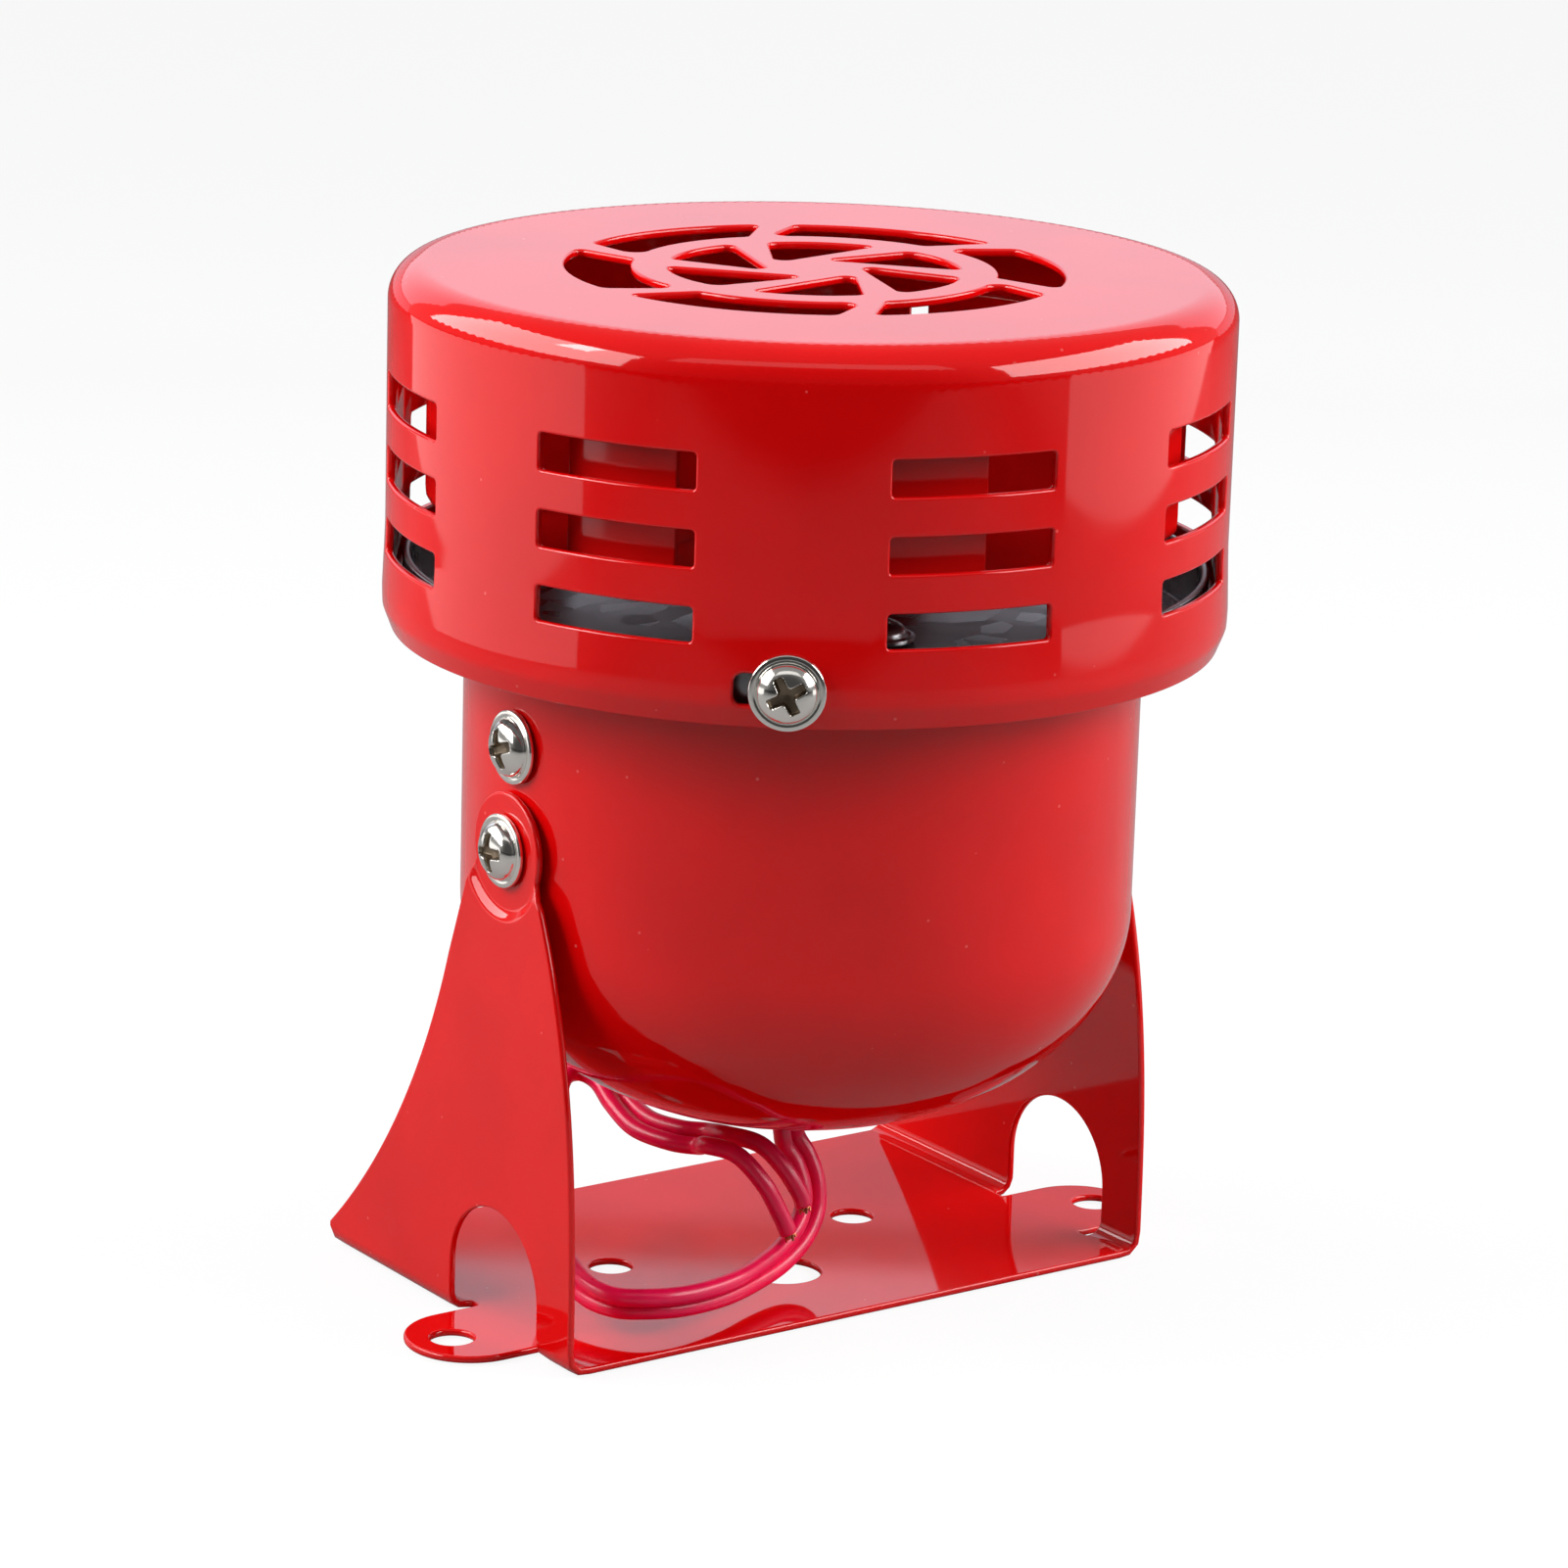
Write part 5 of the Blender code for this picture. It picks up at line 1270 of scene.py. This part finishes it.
def metal_look(name, colour, roughness, scratch=0.3, spangled=False):
    """Return a metal with fine scratches, an uneven roughness and, if spangled, zinc crystals."""
    look = Look(name, colour, 1.0, roughness)
    dark = tuple(c * 0.78 for c in colour)
    if spangled:
        value = look.node("ShaderNodeSeparateColor", Color=look.cells(260.0, "Color")).outputs["Red"]
    else:
        value = look.noise(300.0)
    look.set("Base Color", look.ramp(value, (0.2, dark), (0.8, colour)))
    look.set("Roughness", look.between(value, roughness * 0.75, roughness * 1.3))
    stretch = look.node("ShaderNodeMapping", Vector=look.coords, Scale=(1.0, 1.0, 14.0))
    fine = look.node("ShaderNodeTexNoise", Vector=stretch.outputs["Vector"], Scale=900.0, Detail=2.0)
    look.bump(fine.outputs["Fac"], 0.006 * MM, scratch)
    return look.material


def nickel_look():
    """Return bright nickel plate for screws; the plating is rougher down in the recess, and its colour is painted
    darker and browner there as painted shade.
    """
    look = Look("bright_nickel_with_recess_shade", NICKEL, 1.0, 0.14)
    crown = HEAD_R / (HEAD_H - FLANGE_H)
    squeeze = look.node("ShaderNodeMapping", Vector=look.coords, Location=(0.0, 0.0, -FLANGE_H * crown),
                        Scale=(1.0, 1.0, crown))
    reach = look.node("ShaderNodeVectorMath")
    reach.operation = "LENGTH"
    look.feed(reach.inputs[0], squeeze.outputs["Vector"])
    share = look.node("ShaderNodeMapRange", Value=reach.outputs["Value"], From_Min=HEAD_R * 0.72,
                      From_Max=HEAD_R * 0.97).outputs["Result"]
    # painted shade: the colour falls from nickel on the head to dark brown at the bottom of the cross recess
    look.set("Base Color", look.ramp(share, (0.0, (0.22, 0.17, 0.12)), (0.55, (0.36, 0.31, 0.24)),
                                     (0.93, (0.50, 0.46, 0.40)), (1.0, NICKEL)))
    look.set("Roughness", look.between(share, 0.42, 0.13))
    look.bump(look.noise(900.0), 0.008 * MM, 0.3)
    return look.material


def moulded_look(name, colour, roughness, grain, coat=0.0):
    """Return plastic, rubber or pressed powder with a fine grain."""
    look = Look(name, colour, 0.0, roughness)
    dark = tuple(c * 0.8 for c in colour)
    look.set("Base Color", look.ramp(look.noise(240.0), (0.3, dark), (0.7, colour)))
    look.set("Roughness", look.between(look.noise(500.0), roughness * 0.8, roughness * 1.25))
    look.set("Coat Weight", coat)
    look.set("Coat Roughness", 0.12)
    look.bump(look.noise(1600.0, 4.0), 0.02 * MM, grain)
    return look.material


def build_looks():
    """Return every material by name."""
    return {
        "paint": paint_look("red_gloss_paint", (0.70, 0.0015, 0.002)),
        "rotor_paint": paint_look("red_rotor_paint", (0.66, 0.004, 0.004), 0.12),
        "nickel": nickel_look(),
        "zinc": metal_look("bright_zinc", (0.70, 0.72, 0.74), 0.28, 0.4),
        "spangle": metal_look("spangled_zinc", (0.30, 0.30, 0.31), 0.3, 0.4, spangled=True),
        "steel": metal_look("ground_steel", (0.55, 0.55, 0.56), 0.28, 0.8),
        "aluminium": metal_look("turned_aluminium", (0.78, 0.79, 0.80), 0.3, 0.6),
        "bronze": metal_look("sintered_bronze", (0.60, 0.38, 0.20), 0.45, 0.9),
        "brass": metal_look("brass", (0.80, 0.60, 0.26), 0.25, 0.5),
        "copper": metal_look("bare_copper", (0.55, 0.20, 0.10), 0.3, 0.5),
        "enamel": moulded_look("enamelled_wire", (0.42, 0.12, 0.04), 0.25, 0.2, coat=0.8),
        "pvc": moulded_look("magenta_pvc", (0.90, 0.003, 0.085), 0.3, 0.05, coat=0.1),
        "rubber": moulded_look("black_rubber", (0.02, 0.02, 0.02), 0.6, 0.5),
        "nylon": moulded_look("natural_nylon", (0.80, 0.78, 0.70), 0.45, 0.3),
        "carbon": moulded_look("brush_carbon", (0.03, 0.03, 0.03), 0.5, 0.6),
        "ferrite": moulded_look("ferrite", (0.05, 0.05, 0.055), 0.55, 0.5),
    }


# --- camera, lights and floor ----------------------------------------------
CAMERA_AZIMUTH = -35.4888
CAMERA_ELEVATION = 15.219
CAMERA_DISTANCE = 709.26 * MM
CAMERA_AIM = (-0.1462, -0.0072)     # degrees right of and above the target
CAMERA_ROLL = 1.7394
CAMERA_LENS = 135.449
SENSOR = 36.0
TARGET = Vector((0.0, 0.0, 62.5 * MM))
UP = Vector((0.0, 0.0, 1.0))
FLOOR_SIZE = 12.0
FLOOR_SHADE_GREY = (0.31, 0.31, 0.31)     # painted shade: the grey of the floor round the object, as the object reflects it and is lit by it
FLOOR_SHADE_DARK = (0.03, 0.03, 0.03)     # painted shade: the floor in front of the camera, nearly black in reflections
WHITE = (1.0, 1.0, 1.0)
COOL = (0.95, 1.0, 1.13)
# light cards: name, place in metres (to the right, towards the camera, up), whether it runs
# across the view, width, height, strength and colour
LIGHTS = (
    ("left_light", (-0.42, -0.06, 0.05), False, 0.62, 0.10, 1.25, WHITE),
    ("left_high_light", (-0.42, 0.06, 0.36), False, 0.60, 0.34, 6.1, WHITE),
    ("key_light", (-0.41, 0.15, 0.44), False, 0.10, 0.14, 18.0, WHITE),
    ("right_light", (0.50, -0.12, 0.05), False, 0.62, 0.10, 1.25, WHITE),
    ("right_high_light", (0.50, 0.06, 0.38), False, 0.66, 0.36, 6.8, WHITE),
    ("back_light", (0.0, -0.55, 0.36), True, 1.1, 0.32, 1.05, COOL),
    ("low_back_light", (0.0, -0.55, 0.14), True, 1.1, 0.10, 0.5, COOL),
    ("front_light", (0.0, 0.40, 0.62), True, 0.7, 0.3, 1.0, WHITE),
)


def build_camera():
    """Place the camera to the left of the front and a little above; return its back and level."""
    azimuth = math.radians(CAMERA_AZIMUTH)
    elevation = math.radians(CAMERA_ELEVATION)
    back = Vector((math.sin(azimuth) * math.cos(elevation), -math.cos(azimuth) * math.cos(elevation),
                   math.sin(elevation)))
    right = Vector((math.cos(azimuth), math.sin(azimuth), 0.0))
    up = back.cross(right)
    aim_right, aim_up = (math.tan(math.radians(a)) for a in CAMERA_AIM)
    forward = (-back + right * aim_right + up * aim_up).normalized()
    level = (right - forward * right.dot(forward)).normalized()
    up = level.cross(forward)
    roll = math.radians(CAMERA_ROLL)
    right = level * math.cos(roll) + up * math.sin(roll)
    up = up * math.cos(roll) - level * math.sin(roll)
    data = bpy.data.cameras.new("camera")
    data.lens = CAMERA_LENS
    data.sensor_width = SENSOR
    data.clip_start = 0.01
    camera = bpy.data.objects.new("camera", data)
    turn = Matrix((right, up, -forward)).transposed().to_4x4()
    camera.matrix_world = Matrix.Translation(TARGET + back * CAMERA_DISTANCE) @ turn
    bpy.context.scene.collection.objects.link(camera)
    bpy.context.scene.camera = camera
    return back, level


def plane(name, centre, along, up, width, height):
    """Add a rectangular stage card."""
    mesh = Mesh()
    a = Vector(along) * width / 2.0
    b = Vector(up) * height / 2.0
    centre = Vector(centre)
    mesh.add([centre - a - b, centre + a - b, centre + a + b, centre - a + b])
    mesh.faces.append((0, 1, 2, 3))
    card = make(name, mesh)
    return card


def softbox(name, centre, along, width, height, strength, colour):
    """Add a glowing upright card that lights the object and shows in its gloss, not to the camera."""
    card = plane(name, centre, along, UP, width, height)
    card.visible_camera = False
    material = bpy.data.materials.new(name)
    material.use_nodes = True
    tree = material.node_tree
    tree.nodes.clear()
    glow = tree.nodes.new("ShaderNodeEmission")
    glow.inputs["Strength"].default_value = strength
    glow.inputs["Color"].default_value = (*colour, 1.0)
    output = tree.nodes.new("ShaderNodeOutputMaterial")
    tree.links.new(glow.outputs[0], output.inputs["Surface"])
    card.data.materials.append(material)


def share_along(tree, vector, direction):
    """Return a shader value: how far a vector goes along a direction."""
    dot = tree.nodes.new("ShaderNodeVectorMath")
    dot.operation = "DOT_PRODUCT"
    dot.inputs[1].default_value = direction
    tree.links.new(vector, dot.inputs[0])
    return dot.outputs["Value"]


def build_floor(flat_back):
    """Add the pale floor: it glows white where the camera looks at it; to reflections and bounced light it is
    painted grey, falling to nearly black towards the camera, as painted shade.
    """
    floor = plane("floor", (0.0, 0.0, -0.2 * MM), (1.0, 0.0, 0.0), (0.0, 1.0, 0.0), FLOOR_SIZE, FLOOR_SIZE)
    look = Look("pale_floor", (0.9, 0.9, 0.9), 0.0, 0.6)
    forward = share_along(look.tree, look.coords, flat_back)
    # painted shade: grey round the object and nearly black towards the camera, seen only in reflections and
    # bounced light
    look.set("Base Color", look.ramp(forward, (0.53, FLOOR_SHADE_GREY), (0.575, FLOOR_SHADE_DARK)))
    look.set("Specular IOR Level", 0.1)
    white = look.node("ShaderNodeBsdfDiffuse", Color=(0.95, 0.95, 0.95, 1.0))
    glow = look.node("ShaderNodeEmission", Strength=1.0)
    seen = look.node("ShaderNodeMixShader", Fac=0.9)
    look.feed(seen.inputs[1], white.outputs[0])
    look.feed(seen.inputs[2], glow.outputs[0])
    mix = look.node("ShaderNodeMixShader", Fac=look.node("ShaderNodeLightPath").outputs["Is Camera Ray"])
    look.feed(mix.inputs[1], look.shader.outputs[0])
    look.feed(mix.inputs[2], seen.outputs[0])
    look.feed(look.tree.nodes["Material Output"].inputs["Surface"], mix.outputs[0])
    floor.data.materials.append(look.material)


def build_world(flat_back):
    """Light the studio from all round, darker where the camera stands, and pale where it is seen."""
    world = bpy.data.worlds.new("studio")
    bpy.context.scene.world = world
    world.use_nodes = True
    tree = world.node_tree
    coords = tree.nodes.new("ShaderNodeTexCoord")
    share = tree.nodes.new("ShaderNodeMapRange")
    share.interpolation_type = "SMOOTHSTEP"
    for name, value in (("From Min", 0.35), ("From Max", 0.9), ("To Min", 0.28), ("To Max", 0.06)):
        share.inputs[name].default_value = value
    tree.links.new(share_along(tree, coords.outputs["Generated"], flat_back), share.inputs["Value"])
    seen = tree.nodes.new("ShaderNodeMix")
    tree.links.new(tree.nodes.new("ShaderNodeLightPath").outputs["Is Camera Ray"], seen.inputs["Factor"])
    tree.links.new(share.outputs["Result"], seen.inputs["A"])
    seen.inputs["B"].default_value = 0.97
    tree.links.new(seen.outputs["Result"], tree.nodes["Background"].inputs["Strength"])
    tree.nodes["Background"].inputs["Color"].default_value = (1.0, 1.0, 1.0, 1.0)


def build_studio():
    """Build the camera, the floor and a tent of soft lights."""
    back, level = build_camera()
    flat_back = Vector((back.x, back.y, 0.0)).normalized()
    build_floor(flat_back)
    build_world(flat_back)
    for name, (right, behind, height), across, width, tall, strength, colour in LIGHTS:
        centre = level * right + flat_back * behind + UP * height
        softbox(name, centre, level if across else flat_back, width, tall, strength, colour)
    bpy.context.scene.view_settings.view_transform = "Standard"


def build_all():
    """Build every piece of the siren."""
    looks = build_looks()
    build_bracket(looks["paint"])
    build_cap(looks["paint"])
    build_housing(looks["paint"])
    build_pan(looks["spangle"])
    build_fasteners(looks["nickel"], looks["zinc"], looks["steel"])
    build_leads(looks["pvc"], looks["copper"], looks["rubber"])
    build_rotor(looks["rotor_paint"])
    build_motor(looks)


build_all()
build_studio()
